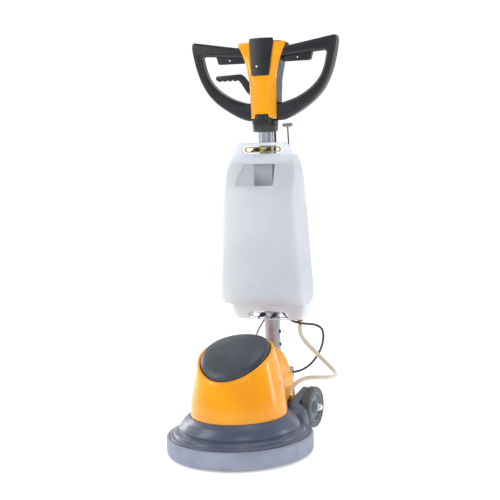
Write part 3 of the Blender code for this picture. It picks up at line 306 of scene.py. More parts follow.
def wheel_rubber():
    """Solid grey rubber tyre: matt, dusty on the tread, with a fine mould bloom."""
    material, tree, shader, place = blank("grey_wheel_rubber", 0.72, IOR=1.52, Specular_IOR_Level=0.35)
    drift(tree, shader, place, "565d62", "6c7478", 14, 7.0)
    vary_gloss(tree, shader, place, 0.60, 0.82, 9)
    relief(tree, shader, [(grains(tree, place, 1.0, 4.0), 0.05, 0.6)])
    return material


def hub_nylon():
    """Grey moulded nylon wheel centre, satin."""
    return moulded_plastic("grey_hub_nylon", "5f6c78", "72808d", (0.36, 0.48), 20, 1.4, 0.03, IOR=1.53)


def scrub_fibre():
    """Non-woven nylon pad: a springy mat of coarse fibres bonded with grit, drawn as a tangle."""
    material, tree, shader, place = blank("scrub_pad_fibre", 0.92, IOR=1.5, Sheen_Weight=0.25, Sheen_Roughness=0.5)
    drift(tree, shader, place, "1d1d21", "3b3b42", 3.5, 8.0)
    tangle = cells(tree, place, 2.4, "DISTANCE_TO_EDGE")
    relief(tree, shader, [(tangle, 0.8, 0.9), (grains(tree, place, 1.1, 6.0), 0.3, 0.8)])
    return material


def vinyl_hose():
    """Milky flexible vinyl hose: waxy, a little see-through, greyed by what it carries."""
    material, tree, shader, place = blank("milky_vinyl_hose", 0.30, IOR=1.52, Subsurface_Weight=0.5,
                                          Subsurface_Scale=0.006, Coat_Weight=0.2, Coat_Roughness=0.15)
    shader.inputs["Subsurface Radius"].default_value = (1.0, 0.9, 0.8)
    drift(tree, shader, place, "cdc8bf", "e2ded6", 35)
    vary_gloss(tree, shader, place, 0.24, 0.40, 12)
    relief(tree, shader, [(grains(tree, place, 2.0), 0.02, 0.4)])
    return material


def cord_pvc():
    """Smooth dark grey PVC jacket with a dull, slightly greasy sheen."""
    material, tree, shader, place = blank("cord_pvc", 0.46, IOR=1.52)
    drift(tree, shader, place, "323a47", "434d5b", 22, 4.0)
    vary_gloss(tree, shader, place, 0.38, 0.58, 7)
    relief(tree, shader, [(grains(tree, place, 1.2), 0.02, 0.5)])
    return material


def clear_lens():
    """Small frosted polycarbonate light window."""
    material, tree, shader, place = blank("frosted_polycarbonate", 0.18, IOR=1.585, Coat_Weight=0.3)
    drift(tree, shader, place, "f2f2ee", "ffffff", 3)
    shader.inputs["Emission Color"].default_value = shade("ffffff")
    shader.inputs["Emission Strength"].default_value = 0.25
    relief(tree, shader, [(grains(tree, place, 0.8), 0.01, 0.3)])
    return material


YELLOW, DECK, CAP, BUMPER = glossy_abs(), satin_abs(), leather_grain_abs(), soft_pvc()
NYLON, GREY, POLYTHENE, COAT = filled_nylon(), grey_abs(), blown_polythene(), powder_coat()
GOLD_ZINC = zinc_passivate("yellow_zinc_passivate", ("c9b45c", "b9ae6c", "cfa95e"))
BLUE_ZINC = zinc_passivate("blue_zinc_passivate", ("b6c2d0", "a7b3c4", "c6ccd2"))
STEEL = machined("ground_steel", "a8abb0", "bcbfc3", 0.26, "X")
BRASS = machined("tarnished_brass", "5f4b35", "7d6547", 0.38)
ALUMINIUM, CHROME, RUBBER, HUB = cast_aluminium(), chrome_plate(), wheel_rubber(), hub_nylon()
PAD, HOSE, JACKET, LENS = scrub_fibre(), vinyl_hose(), cord_pvc(), clear_lens()


# ---------------------------------------------------------------- mesh helpers

def link(name, mesh):
    made = bpy.data.objects.new(name, mesh)
    SCENE.collection.objects.link(made)
    return made


def bake(thing, angle=SHARP):
    """Turns the object with its modifiers into a plain mesh at the origin, normals out."""
    bpy.context.view_layer.update()
    result = bpy.data.meshes.new_from_object(thing.evaluated_get(bpy.context.evaluated_depsgraph_get()))
    result.transform(thing.matrix_world)
    name = thing.name
    bpy.data.objects.remove(thing)
    work = bmesh.new()
    work.from_mesh(result)
    bmesh.ops.remove_doubles(work, verts=work.verts, dist=0.00001)
    bmesh.ops.recalc_face_normals(work, faces=work.faces)
    work.to_mesh(result)
    work.free()
    result.materials.clear()
    result.shade_smooth()
    result.set_sharp_from_angle(angle=radians(angle))
    return link(name, result)


def close_up(name, work, angle=SHARP):
    bmesh.ops.remove_doubles(work, verts=work.verts, dist=0.00001)
    bmesh.ops.recalc_face_normals(work, faces=work.faces)
    mesh = bpy.data.meshes.new(name)
    work.to_mesh(mesh)
    work.free()
    mesh.shade_smooth()
    mesh.set_sharp_from_angle(angle=radians(angle))
    return link(name, mesh)


def bridge(work, low, high):
    """Faces between two rings; a ring of one vertex is a pole."""
    count = max(len(low), len(high))
    for i in range(count):
        j = (i + 1) % count
        if len(low) == 1:
            work.faces.new((low[0], high[j], high[i]))
        elif len(high) == 1:
            work.faces.new((low[i], low[j], high[0]))
        else:
            work.faces.new((low[i], low[j], high[j], high[i]))


def turned(name, profile, sides=96, place=Matrix(), closed=False, angle=SHARP):
    """Spins (radius, height) points about local Z; a radius of 0 makes a pole."""
    work = bmesh.new()
    rings = []
    for radius, height in profile:
        if radius < 0.00001:
            rings.append([work.verts.new(place @ Vector((0, 0, height)))])
        else:
            turns = [2 * pi * i / sides for i in range(sides)]
            rings.append([work.verts.new(place @ Vector((radius * cos(a), radius * sin(a), height))) for a in turns])
    for low, high in zip(rings, rings[1:]):
        bridge(work, low, high)
    if closed:
        bridge(work, rings[-1], rings[0])
    return close_up(name, work, angle)


def skin(name, rings, closed=False, angle=SHARP):
    """A surface through rings of equal point count, capped at both ends unless it closes on itself."""
    work = bmesh.new()
    rows = [[work.verts.new(p) for p in ring] for ring in rings]
    for low, high in zip(rows, rows[1:]):
        bridge(work, low, high)
    if closed:
        bridge(work, rows[-1], rows[0])
    else:
        work.faces.new(rows[0])
        work.faces.new(rows[-1])
    return close_up(name, work, angle)


def rounded(points, radius, steps=4, loop=False):
    """Replaces each corner with a short curve. Works on (x, y) pairs and on vectors."""
    points = [Vector(p) for p in points]
    count = len(points)
    result = []
    for i, corner in enumerate(points):
        if not loop and i in (0, count - 1):
            result.append(corner)
            continue
        before, after = points[i - 1] - corner, points[(i + 1) % count] - corner
        reach_a = min(radius, before.length * 0.45)
        reach_b = min(radius, after.length * 0.45)
        start, end = corner + before.normalized() * reach_a, corner + after.normalized() * reach_b
        for k in range(steps + 1):
            t = k / steps
            result.append(start * (1 - t) ** 2 + corner * (2 * t * (1 - t)) + end * t * t)
    return result


def flowing(points, per_span):
    """Points on a smooth curve through the given ones, which may have any number of values."""
    points = [Vector(p) for p in points]
    result = []
    for i in range(len(points) - 1):
        a, b = points[i], points[i + 1]
        before = points[i - 1] if i else a * 2 - b
        after = points[i + 2] if i + 2 < len(points) else b * 2 - a
        for k in range(per_span):
            t = k / per_span
            result.append(0.5 * (2 * a + (b - before) * t + (2 * before - 5 * a + 4 * b - after) * t * t
                                 + (3 * a - before - 3 * b + after) * t ** 3))
    return result + [points[-1]]


def facing_front(y):
    return Matrix.Translation((0, y, 0)) @ Matrix.Rotation(pi / 2, 4, "X")


def plate(name, loops, thickness, place, rounding=0.0, steps=3):
    """A flat outline with holes, given thickness about its plane, its edges rounded inwards."""
    curve = bpy.data.curves.new(name, "CURVE")
    curve.dimensions = "2D"
    curve.fill_mode = "BOTH"
    curve.extrude = thickness / 2 - rounding
    curve.bevel_depth = rounding
    curve.bevel_resolution = steps
    curve.offset = -rounding
    for loop in loops:
        spline = curve.splines.new("POLY")
        spline.points.add(len(loop) - 1)
        for point, spot in zip(spline.points, loop):
            point.co = (spot[0], spot[1], 0, 1)
        spline.use_cyclic_u = True
    made = link(name, curve)
    made.matrix_world = place
    return bake(made, SHARP)


def block(low, high):
    work = bmesh.new()
    bmesh.ops.create_cube(work, size=1.0)
    low, high = Vector(low), Vector(high)
    bmesh.ops.scale(work, vec=high - low, verts=work.verts)
    bmesh.ops.translate(work, vec=(high + low) / 2, verts=work.verts)
    return close_up("cutter", work)


def bar(radius, start, end, sides=48):
    start, end = Vector(start), Vector(end)
    place = Matrix.Translation(start) @ (end - start).to_track_quat("Z", "Y").to_matrix().to_4x4()
    length = (end - start).length
    return turned("cutter", [(0, 0), (radius, 0), (radius, length), (0, length)], sides, place)


def carve(target, tools, operation="DIFFERENCE", angle=SHARP):
    """Applies boolean tools one after another and throws them away."""
    for tool in tools:
        step = target.modifiers.new("step", "BOOLEAN")
        step.operation = operation
        step.object = tool
    result = bake(target, angle)
    for tool in tools:
        bpy.data.objects.remove(tool)
    return result


def from_node(name, source, rounding=0.0008, steps=2):
    """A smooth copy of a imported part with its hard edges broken."""
    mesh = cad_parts[source].data.copy()
    work = bmesh.new()
    work.from_mesh(mesh)
    bmesh.ops.remove_doubles(work, verts=work.verts, dist=0.00002)
    bmesh.ops.dissolve_limit(work, angle_limit=radians(0.6), verts=work.verts, edges=work.edges)
    work.to_mesh(mesh)
    work.free()
    made = link(name, mesh)
    if rounding:
        edge = made.modifiers.new("edges", "BEVEL")
        edge.width = rounding
        edge.segments = steps
        edge.limit_method = "ANGLE"
        edge.angle_limit = radians(35)
        edge.use_clamp_overlap = True
    return bake(made, SHARP)


def settle(piece, body, material, slot, *replaced):
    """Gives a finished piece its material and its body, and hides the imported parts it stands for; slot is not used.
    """
    piece.data.materials.clear()
    piece.data.materials.append(material)
    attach(piece, body)
    if replaced:
        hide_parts(*replaced)
    return piece


# ---------------------------------------------------------------- geometry node trees

def new_tree(name, inputs):
    """A geometry tree with named size inputs; returns it with its input and output nodes."""
    tree = bpy.data.node_groups.new(name, "GeometryNodeTree")
    tree.interface.new_socket("Geometry", in_out="INPUT", socket_type="NodeSocketGeometry")
    tree.interface.new_socket("Geometry", in_out="OUTPUT", socket_type="NodeSocketGeometry")
    for label, kind in inputs:
        tree.interface.new_socket(label, in_out="INPUT", socket_type=kind)
    return tree, tree.nodes.new("NodeGroupInput"), tree.nodes.new("NodeGroupOutput")


def grow(name, tree, values, seed_mesh=None, angle=SHARP):
    """Runs a tree on an object, setting inputs by socket identifier, and keeps the plain mesh."""
    made = link(name, seed_mesh or bpy.data.meshes.new(name))
    step = made.modifiers.new("grow", "NODES")
    step.node_group = tree
    sockets = {s.name: s.identifier for s in tree.interface.items_tree if s.in_out == "INPUT"}
    for label, value in values.items():
        step[sockets[label]] = value
    return bake(made, angle)


def coil_tree(material):
    """A round wire wound into an open spring."""
    tree, given, out = new_tree("coil", [("Coil Radius", "NodeSocketFloat"), ("Wire Radius", "NodeSocketFloat"),
                                         ("Turns", "NodeSocketFloat"), ("Height", "NodeSocketFloat")])
    spiral = node(tree, "GeometryNodeCurveSpiral", {"Resolution": 40, "Rotations": given.outputs["Turns"],
                                                    "Start Radius": given.outputs["Coil Radius"],
                                                    "End Radius": given.outputs["Coil Radius"],
                                                    "Height": given.outputs["Height"]})
    wire = node(tree, "GeometryNodeCurvePrimitiveCircle", {"Resolution": 10, "Radius": given.outputs["Wire Radius"]})
    swept = node(tree, "GeometryNodeCurveToMesh", {"Curve": spiral.outputs["Curve"],
                                                   "Profile Curve": wire.outputs["Curve"], "Fill Caps": True})
    real = node(tree, "GeometryNodeRealizeInstances", {"Geometry": swept.outputs["Mesh"]})
    coated = node(tree, "GeometryNodeSetMaterial", {"Geometry": real.outputs["Geometry"], "Material": material})
    tree.links.new(coated.outputs["Geometry"], out.inputs["Geometry"])
    return tree


def ring_tree(name, material):
    """Copies the object's own mesh round the Z axis."""
    tree, given, out = new_tree(name, [("Count", "NodeSocketInt"), ("Radius", "NodeSocketFloat")])
    circle = node(tree, "GeometryNodeMeshCircle", {"Vertices": given.outputs["Count"],
                                                   "Radius": given.outputs["Radius"]})
    spot = node(tree, "GeometryNodeInputPosition")
    turn = node(tree, "FunctionNodeAlignRotationToVector", {"Vector": spot.outputs["Position"]}, axis="X",
                pivot_axis="Z")
    copies = node(tree, "GeometryNodeInstanceOnPoints", {"Points": circle.outputs["Mesh"],
                                                         "Instance": given.outputs["Geometry"],
                                                         "Rotation": turn.outputs["Rotation"]})
    real = node(tree, "GeometryNodeRealizeInstances", {"Geometry": copies.outputs["Instances"]})
    coated = node(tree, "GeometryNodeSetMaterial", {"Geometry": real.outputs["Geometry"], "Material": material})
    tree.links.new(coated.outputs["Geometry"], out.inputs["Geometry"])
    return tree


def ringed(name, material, profile, count, radius, place, sides=12):
    """One small turned shape, repeated on a circle and then moved to its place."""
    seed = turned(name + "_seed", profile, sides)
    mesh = seed.data
    bpy.data.objects.remove(seed)
    made = grow(name, ring_tree(name, material), {"Count": count, "Radius": radius}, mesh, SHARP)
    made.data.transform(place)
    return made


# ---------------------------------------------------------------- camera, floor and light

def make_camera():
    """Long lens, a little above the handle collar's height, turned 25 degrees to the machine's right."""
    around, distance, height, side = radians(25.0), 3.30, 0.9923, 0.055
    dip, roll = radians(6.864), radians(2.194)
    forward = Vector((-sin(around) * cos(dip), cos(around) * cos(dip), -sin(dip)))
    right = Vector((cos(around), sin(around), 0))
    up = right.cross(forward)
    across, upward = right * cos(roll) - up * sin(roll), up * cos(roll) + right * sin(roll)
    data = bpy.data.cameras.new("camera")
    data.sensor_width, data.lens = 36.0, 83.88
    camera = link("camera", data)
    camera.matrix_world = Matrix((across, upward, -forward)).transposed().to_4x4()
    camera.location = (sin(around) * distance + side, -cos(around) * distance, height)
    SCENE.camera = camera


def area_light(name, place, target, size, power):
    data = bpy.data.lights.new(name, "AREA")
    data.shape, data.size, data.size_y = "RECTANGLE", size[0], size[1]
    data.energy = power
    lamp = link(name, data)
    lamp.location = place
    lamp.rotation_euler = (Vector(target) - Vector(place)).to_track_quat("-Z", "Y").to_euler()


# name, place, what it points at, size in metres, watts
LIGHTS = [
    ("key", (-2.3, -1.7, 2.2), (0, 0.05, 0.6), (0.9, 1.8), 40),
    ("fill", (1.6, -2.6, 1.9), (0, 0.05, 0.5), (1.2, 1.2), 16),
    ("left strip", (-2.7, 1.2, 1.0), (0, 0.1, 0.7), (0.45, 1.8), 24),
    ("right strip", (2.6, 1.5, 0.9), (0, 0.15, 0.6), (0.45, 1.8), 20),
    ("top", (0.2, 0.5, 3.0), (0, 0.1, 0.6), (0.8, 0.8), 12),
]
PAPER_GLOW = 0.42
GLOW_BEFORE, GLOW_BEHIND = 0.42, 1.05            # the surroundings, on the camera's side and beyond
TOWARDS_BACK = (-0.42, 0.90, 0.0)


def make_studio():
    """Pale glowing floor, soft white surroundings behind the machine, darker ones in front of it so that
    plastics keep their depth, a key, a fill, a strip on either side and a small top light."""
    floor = turned("studio_floor", [(0, -0.0002), (9.0, -0.0002)], 64)
    material, tree, shader, place = blank("studio_paper", 0.9, Specular_IOR_Level=0.1)
    drift(tree, shader, place, "fbfbfb", "ffffff", 900)
    floor.data.materials.append(material)
    shader.inputs["Emission Color"].default_value = shade("ffffff")
    shader.inputs["Emission Strength"].default_value = PAPER_GLOW
    SCENE.view_settings.view_transform = "Standard"
    world = bpy.data.worlds.new("studio")
    SCENE.world = world
    world.use_nodes = True
    tree = world.node_tree
    back = tree.nodes["Background"]
    heading = node(tree, "ShaderNodeTexCoord").outputs["Generated"]
    facing = node(tree, "ShaderNodeVectorMath", {0: heading, 1: TOWARDS_BACK}, operation="DOT_PRODUCT")
    span = {"Value": facing.outputs["Value"], "From Min": -0.1, "From Max": 0.75,
            "To Min": GLOW_BEFORE, "To Max": GLOW_BEHIND}
    sweep = node(tree, "ShaderNodeMapRange", span, interpolation_type="SMOOTHSTEP")
    back.inputs["Color"].default_value = shade("ffffff")
    tree.links.new(sweep.outputs["Result"], back.inputs["Strength"])
    for light in LIGHTS:
        area_light(*light)


# ---------------------------------------------------------------- hose, lead and lock cable

HOSE_ROUTE = [(0.0925, 0.2620, 0.3312), (0.0928, 0.2615, 0.3120), (0.0990, 0.2590, 0.2960), (0.1150, 0.2540, 0.2780),
              (0.1420, 0.2490, 0.2560), (0.1690, 0.2450, 0.2330), (0.1960, 0.2380, 0.2130), (0.2160, 0.2220, 0.2010),
              (0.2270, 0.1980, 0.1960), (0.2220, 0.1740, 0.1960), (0.2060, 0.1560, 0.1980), (0.1840, 0.1460, 0.1990),
              (0.1600, 0.1400, 0.1970), (0.1360, 0.1370, 0.1870), (0.1180, 0.1360, 0.1710), (0.1080, 0.1360, 0.1560),
              (0.1062, 0.1360, 0.1432)]
LEAD_ROUTE = [(0.0250, 0.2765, 0.9237), (0.0250, 0.2770, 0.9000), (0.0215, 0.2810, 0.8700), (0.0180, 0.2850, 0.8300),
              (0.0180, 0.2850, 0.7000), (0.0180, 0.2850, 0.5500), (0.0180, 0.2850, 0.4200), (0.0230, 0.2870, 0.3700),
              (0.0440, 0.2900, 0.3430), (0.0720, 0.2930, 0.3320), (0.1020, 0.2950, 0.3290), (0.1300, 0.2950, 0.3270),
              (0.1500, 0.2930, 0.3170), (0.1570, 0.2900, 0.2960), (0.1530, 0.2850, 0.2650), (0.1400, 0.2790, 0.2360),
              (0.1210, 0.2720, 0.2100), (0.0980, 0.2640, 0.1930), (0.0790, 0.2540, 0.1865), (0.0670, 0.2450, 0.1860),
              (0.0660, 0.2393, 0.1860)]
CABLE_ROUTE = [(-0.0180, 0.2865, 0.9237), (-0.0180, 0.2860, 0.8900), (-0.0170, 0.2855, 0.8000),
               (-0.0170, 0.2855, 0.6000), (-0.0170, 0.2855, 0.4400), (-0.0210, 0.2855, 0.3800),
               (-0.0330, 0.2820, 0.3450), (-0.0500, 0.2760, 0.3150), (-0.0620, 0.2700, 0.2850),
               (-0.0590, 0.2650, 0.2560), (-0.0440, 0.2630, 0.2370), (-0.0345, 0.2620, 0.2240),
               (-0.0340, 0.2620, 0.2160)]


def cord(name, route, radius, material, sides=20):
    """A round tube swept along the route without twisting, with closed ends."""
    path = flowing(route, 10)
    work = bmesh.new()
    rings = []
    normal = (path[1] - path[0]).orthogonal().normalized()
    turns = [2 * pi * k / sides for k in range(sides)]
    for i, spot in enumerate(path):
        heading = (path[min(i + 1, len(path) - 1)] - path[max(i - 1, 0)]).normalized()
        normal = (normal - heading * normal.dot(heading)).normalized()
        other = heading.cross(normal)
        rings.append([work.verts.new(spot + (normal * cos(a) + other * sin(a)) * radius) for a in turns])
    for low, high in zip(rings, rings[1:]):
        bridge(work, low, high)
    bridge(work, [work.verts.new(path[0])], rings[0])
    bridge(work, rings[-1], [work.verts.new(path[-1])])
    made = close_up(name, work, 50)
    made.data.materials.append(material)
    return made, path


def make_cords():
    hose, path = cord("water_hose_piece", HOSE_ROUTE, HOSE_R, HOSE)
    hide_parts("water_hose")
    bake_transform(hose)
    lead, path = cord("power_lead_piece", LEAD_ROUTE, LEAD_R, JACKET)
    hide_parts("power_lead")
    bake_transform(lead)
    cable, path = cord("lock_cable_piece", CABLE_ROUTE, CABLE_R, JACKET, 14)
    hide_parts("lock_cable")
    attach(cable, "handle")


# ---------------------------------------------------------------- brush deck

def wing_outline(inset):
    plan = [(0.0935, 0.085), (0.140 - inset, 0.085), (0.164 - inset, 0.112), (0.163 - inset, 0.139),
            (0.150 - inset, 0.160), (0.1185, 0.166), (0.1185, 0.272), (0.0935, 0.272)]
    return rounded(plan, 0.010, 5, loop=True)


def wing_top(x, y):
    return 0.116 + 0.18 * (y - 0.160) - 0.26 * (x - 0.100)


def make_wing(side):
    """One wheel wing: flat sloping top, softly rolled over into its sides."""
    rings = [[Vector((side * x, y, SKIRT_TOP + GAP)) for x, y in wing_outline(0)]]
    for inset, drop in ((0.0040, 0.0120), (0.0052, 0.0080), (0.0075, 0.0045), (0.0108, 0.0018), (0.0150, 0.0)):
        rings.append([Vector((side * x, y, wing_top(x, y) - drop)) for x, y in wing_outline(inset)])
    return skin("wing", rings)


def make_deck():
    outer = [(0.1202, DECK_TOP), (0.1450, DECK_TOP), (0.1478, 0.1150), (0.1600, 0.1050), (0.1715, 0.0905),
             (0.1765, 0.0815), (0.1742, 0.0752), (0.1830, 0.0722), (0.1905, 0.0688), (0.1926, 0.0638),
             (0.1965, 0.0626), (0.2030, 0.0600), (DECK_R, 0.0570), (DECK_R, 0.0500), (0.2000, 0.0500)]
    inner = [(0.1980, 0.0560), (0.1690, 0.0680), (0.1560, 0.0950), (0.1430, 0.1090), (0.1202, 0.1090)]
    profile = rounded(outer + inner, 0.0022, 4, loop=True)
    deck = turned("base_cover_piece", profile, 192, closed=True)
    under = [(0, 0.1150), (0.1450, 0.1150), (0.1585, 0.1035), (0.1700, 0.0890), (0.1745, 0.0805), (0.1735, 0.0705),
             (0.1850, 0.0690), (0.1900, 0.0640), (0.1955, 0.0612), (0.2020, 0.0587), (0.2020, 0.0450), (0, 0.0450)]
    wings = [carve(make_wing(side), [turned("cutter", under, 150)]) for side in (-1, 1)]
    boss = turned("boss", rounded([(0, 0.100), (0.0115, 0.100), (0.0105, 0.1235), (0, 0.1235)], 0.0012, 3), 48,
                  Matrix.Translation((BARB_X, BARB_Y, 0)))
    deck = carve(deck, wings + [boss], "UNION")
    deck = carve(deck, [bar(0.0083, (-0.2, AXLE.y, AXLE.z), (0.2, AXLE.y, AXLE.z))], angle=32)
    settle(deck, "base", DECK, "deck_plastic", "base_cover")
    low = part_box("bumper_skirt")[0].z
    ring = [(0.2049, SKIRT_TOP - 0.0006), (0.2095, SKIRT_TOP), (0.2132, SKIRT_TOP - 0.0008),
            (SKIRT_R, SKIRT_TOP - 0.0045), (SKIRT_R, 0.0120), (0.2132, 0.0072), (0.2100, low), (0.2049, low)]
    skirt = turned("bumper_skirt_piece", rounded(ring, 0.0016, 4, loop=True), 192, closed=True)
    settle(skirt, "base", BUMPER, "bumper_rubber", "bumper_skirt")


def make_pad():
    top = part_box("floor_pad")[1].z
    edge = [(0, top), (0.1925, top), (0.1960, 0.0115), (0.1960, 0.0020), (0.1940, 0.0), (0, 0.0)]
    pad = turned("floor_pad_piece", rounded(edge, 0.0015, 3), 160)
    settle(pad, "brush_drive", PAD, "scrub_pad", "floor_pad")


# ---------------------------------------------------------------- motor cover, cap and rear cover

COVER_PROFILE = [(0.1168, 0.1415), (0.140, 0.1405), (0.165, 0.1375), (0.200, 0.1305), (0.240, 0.1225),
                 (0.270, 0.1155), (0.300, 0.1075), (0.330, 0.0980)]
RIM_Y, RIM_Z, RIM_SLOPE, RIM_CURVE = 0.003, 0.297, 0.34, -1.5
FINE_PROFILE = flowing(COVER_PROFILE, 8)


def rim_height(y):
    away = y - RIM_Y
    return RIM_Z + RIM_SLOPE * away + RIM_CURVE * away * away


def cover_radius(z):
    for low, high in zip(FINE_PROFILE, FINE_PROFILE[1:]):
        if z <= high[0]:
            return low[1] + (high[1] - low[1]) * (z - low[0]) / (high[0] - low[0])
    return FINE_PROFILE[-1][1]


def cover_point(angle, z, grow=0.0):
    stretch = 0.02 + 0.20 * max(0.0, (z - 0.15) / 0.17)
    radius = cover_radius(z) + grow
    back = max(0.0, sin(angle))
    return Vector((radius * cos(angle), radius * sin(angle) * (1 + stretch * back), z))


def rim_point(angle, inset=0.0, lift=0.0):
    z = RIM_Z
    for _ in range(14):
        z = rim_height(cover_point(angle, z).y)
    point = cover_point(angle, z, -inset)
    return Vector((point.x, point.y, rim_height(point.y) + lift))


def cover_wall(sides, levels, grow, drop):
    rings = []
    for level in range(levels):
        ring = []
        for i in range(sides):
            angle = 2 * pi * i / sides
            top = rim_point(angle).z - drop
            ring.append(cover_point(angle, COVER_BOTTOM + (top - COVER_BOTTOM) * level / (levels - 1), grow))
        rings.append(ring)
    return rings


def make_motor_cover():
    """A tapered drum with a slanted mouth and a rolled lip."""
    sides = 160
    angles = [2 * pi * i / sides for i in range(sides)]
    rings = cover_wall(sides, 22, 0.0, 0.0078)
    lip = [(-0.0010, -0.0058), (-0.0018, -0.0048), (-0.0021, -0.0034), (-0.0017, -0.0019), (-0.0006, -0.0007),
           (0.0012, 0.0001), (0.0030, 0.0004), (0.0048, 0.0003),
           (0.0062, -0.0004), (0.0072, -0.0018), (0.0077, -0.0038), (0.0078, -0.0080), (0.0050, -0.0110)]
    rings += [[rim_point(a, inset, lift) for a in angles] for inset, lift in lip]
    rings += reversed(cover_wall(sides, 8, -0.0030, 0.0140))
    cover = skin("motor_cover_piece", rings, closed=True, angle=60)
    settle(cover, "base", YELLOW, "yellow_plastic", "motor_cover")


def make_cap():
    """A crowned lid let into the lip, with one soft moulded crease to the right of its middle."""
    sides = 160
    angles = [2 * pi * i / sides for i in range(sides)]
    crown = flowing([(1.0, -0.0050), (1.0, 0.0010), (0.985, 0.0055), (0.95, 0.0100), (0.88, 0.0145), (0.68, 0.0195),
                     (0.42, 0.0220), (0.18, 0.0230), (0.03, 0.0231)], 5)
    rings = []
    for share, rise in crown:
        ring = []
        for a in angles:
            edge = rim_point(a, 0.0092)
            x, y = edge.x * share, RIM_Y + (edge.y - RIM_Y) * share
            beside = max(0.0, min(1.0, (x - 0.034) / 0.006))
            along = max(0.0, min(1.0, (y + 0.075) / 0.03)) * max(0.0, min(1.0, (0.02 - y) / 0.04))
            crease = -0.0026 * beside * (1 - 0.6 * beside) * along
            ring.append(Vector((x, y, rim_height(y) - 0.0010 + rise + crease)))
        rings.append(ring)
    under = [[Vector((p.x * 0.97, RIM_Y + (p.y - RIM_Y) * 0.97, p.z - 0.0005)) for p in rings[0]]]
    under.append([Vector((p.x * 0.2, RIM_Y + (p.y - RIM_Y) * 0.2, p.z + 0.010)) for p in rings[0]])
    cap = skin("motor_cap_piece", list(reversed(under)) + rings, angle=50)
    settle(cap, "base", CAP, "cap_plastic", "motor_cap")


def rear_plan(half_width, back, z, corner=0.022, front=0.085):
    points = [Vector((half_width, front, z))]
    for i in range(15):
        angle = i * pi / 28
        points.append(Vector((half_width - corner * (1 - cos(angle)), back - corner * (1 - sin(angle)), z)))
    return points + [Vector((-p.x, p.y, z)) for p in reversed(points)]


def make_rear_cover():
    """The hump behind the motor cover, in two storeys with a step between them."""
    sizes = [(0.1168, 0.0925, 0.2235), (0.1500, 0.0915, 0.2235), (0.1930, 0.0885, 0.2190), (0.1960, 0.0865, 0.2170),
             (0.1985, 0.0838, 0.2148), (0.2300, 0.0810, 0.2040), (0.2580, 0.0760, 0.1880), (0.2780, 0.0650, 0.1690),
             (0.2900, 0.0450, 0.1480)]
    levels = rounded([Vector(s) for s in sizes], 0.012, 5)
    cover = skin("rear_cover_piece", [rear_plan(w, back, z) for z, w, back in levels])
    hollow = [Vector((z - 0.003, w - 0.003, back - 0.003)) for z, w, back in levels]
    hollow.insert(0, Vector((0.100, 0.0895, 0.2205)))
    space = cover_wall(96, 12, 0.0006, 0.004)
    space.insert(0, [Vector((p.x, p.y, 0.09)) for p in space[0]])
    space.append([Vector((p.x, p.y, p.z + 0.05)) for p in space[-1]])
    cover = carve(cover, [skin("cutter", [rear_plan(w, back, z, 0.019, 0.05) for z, w, back in hollow]),
                          skin("cutter", space),
                          bar(0.0050, (GLAND_X, 0.190, GLAND_Z), (GLAND_X, 0.25, GLAND_Z))], angle=32)
    settle(cover, "base", YELLOW, "yellow_plastic", "rear_cover")


def make_gland_and_barb():
    cone = [(0, 0.016), (0.0042, 0.016), (0.0048, 0.004), (0.0078, 0.004), (0.0078, 0), (0.0046, 0), (0.0046, -0.008),
            (0, -0.008)]
    place = Matrix.Translation((GLAND_X, 0.2206, GLAND_Z)) @ Matrix.Rotation(-pi / 2, 4, "X")
    gland = turned("lead_gland_piece", rounded(cone, 0.0006, 3), 48, place)
    settle(gland, "base", NYLON, "black_plastic", "lead_gland")
    nubs = ringed("lead_gland_grips", NYLON, [(0, 0), (0.0008, 0.0002), (0.0008, 0.0032), (0, 0.0036)], 12, 0.0076,
                  place @ Matrix.Translation((0, 0, 0.0002)), 8)
    settle(nubs, "base", NYLON, "black_plastic")
    stem = [(0, 0.0180), (0.0034, 0.0180), (0.0044, 0.0120), (0.0034, 0.0118), (0.0034, 0.0080), (0.0085, 0.0080),
            (0.0085, 0), (0, 0)]
    barb = turned("hose_inlet_barb_piece", rounded(stem, 0.0004, 2), 48, Matrix.Translation((BARB_X, BARB_Y, 0.1238)))
    settle(barb, "base", BRASS, "brass", "hose_inlet_barb")
    tail = [(0.0090, 0), (0.0090, -0.0070), (0.0040, -0.0070), (0.0034, -0.0180), (0.0022, -0.0180), (0.0022, 0)]
    outlet = turned("outlet_barb_piece", rounded(tail, 0.0004, 2, loop=True), 48,
                    Matrix.Translation((VALVE_SEAT.x, TUBE.y, TANK_BOTTOM - GAP)), closed=True)
    settle(outlet, "handle", BRASS, "brass", "outlet_barb")


# ---------------------------------------------------------------- wheels

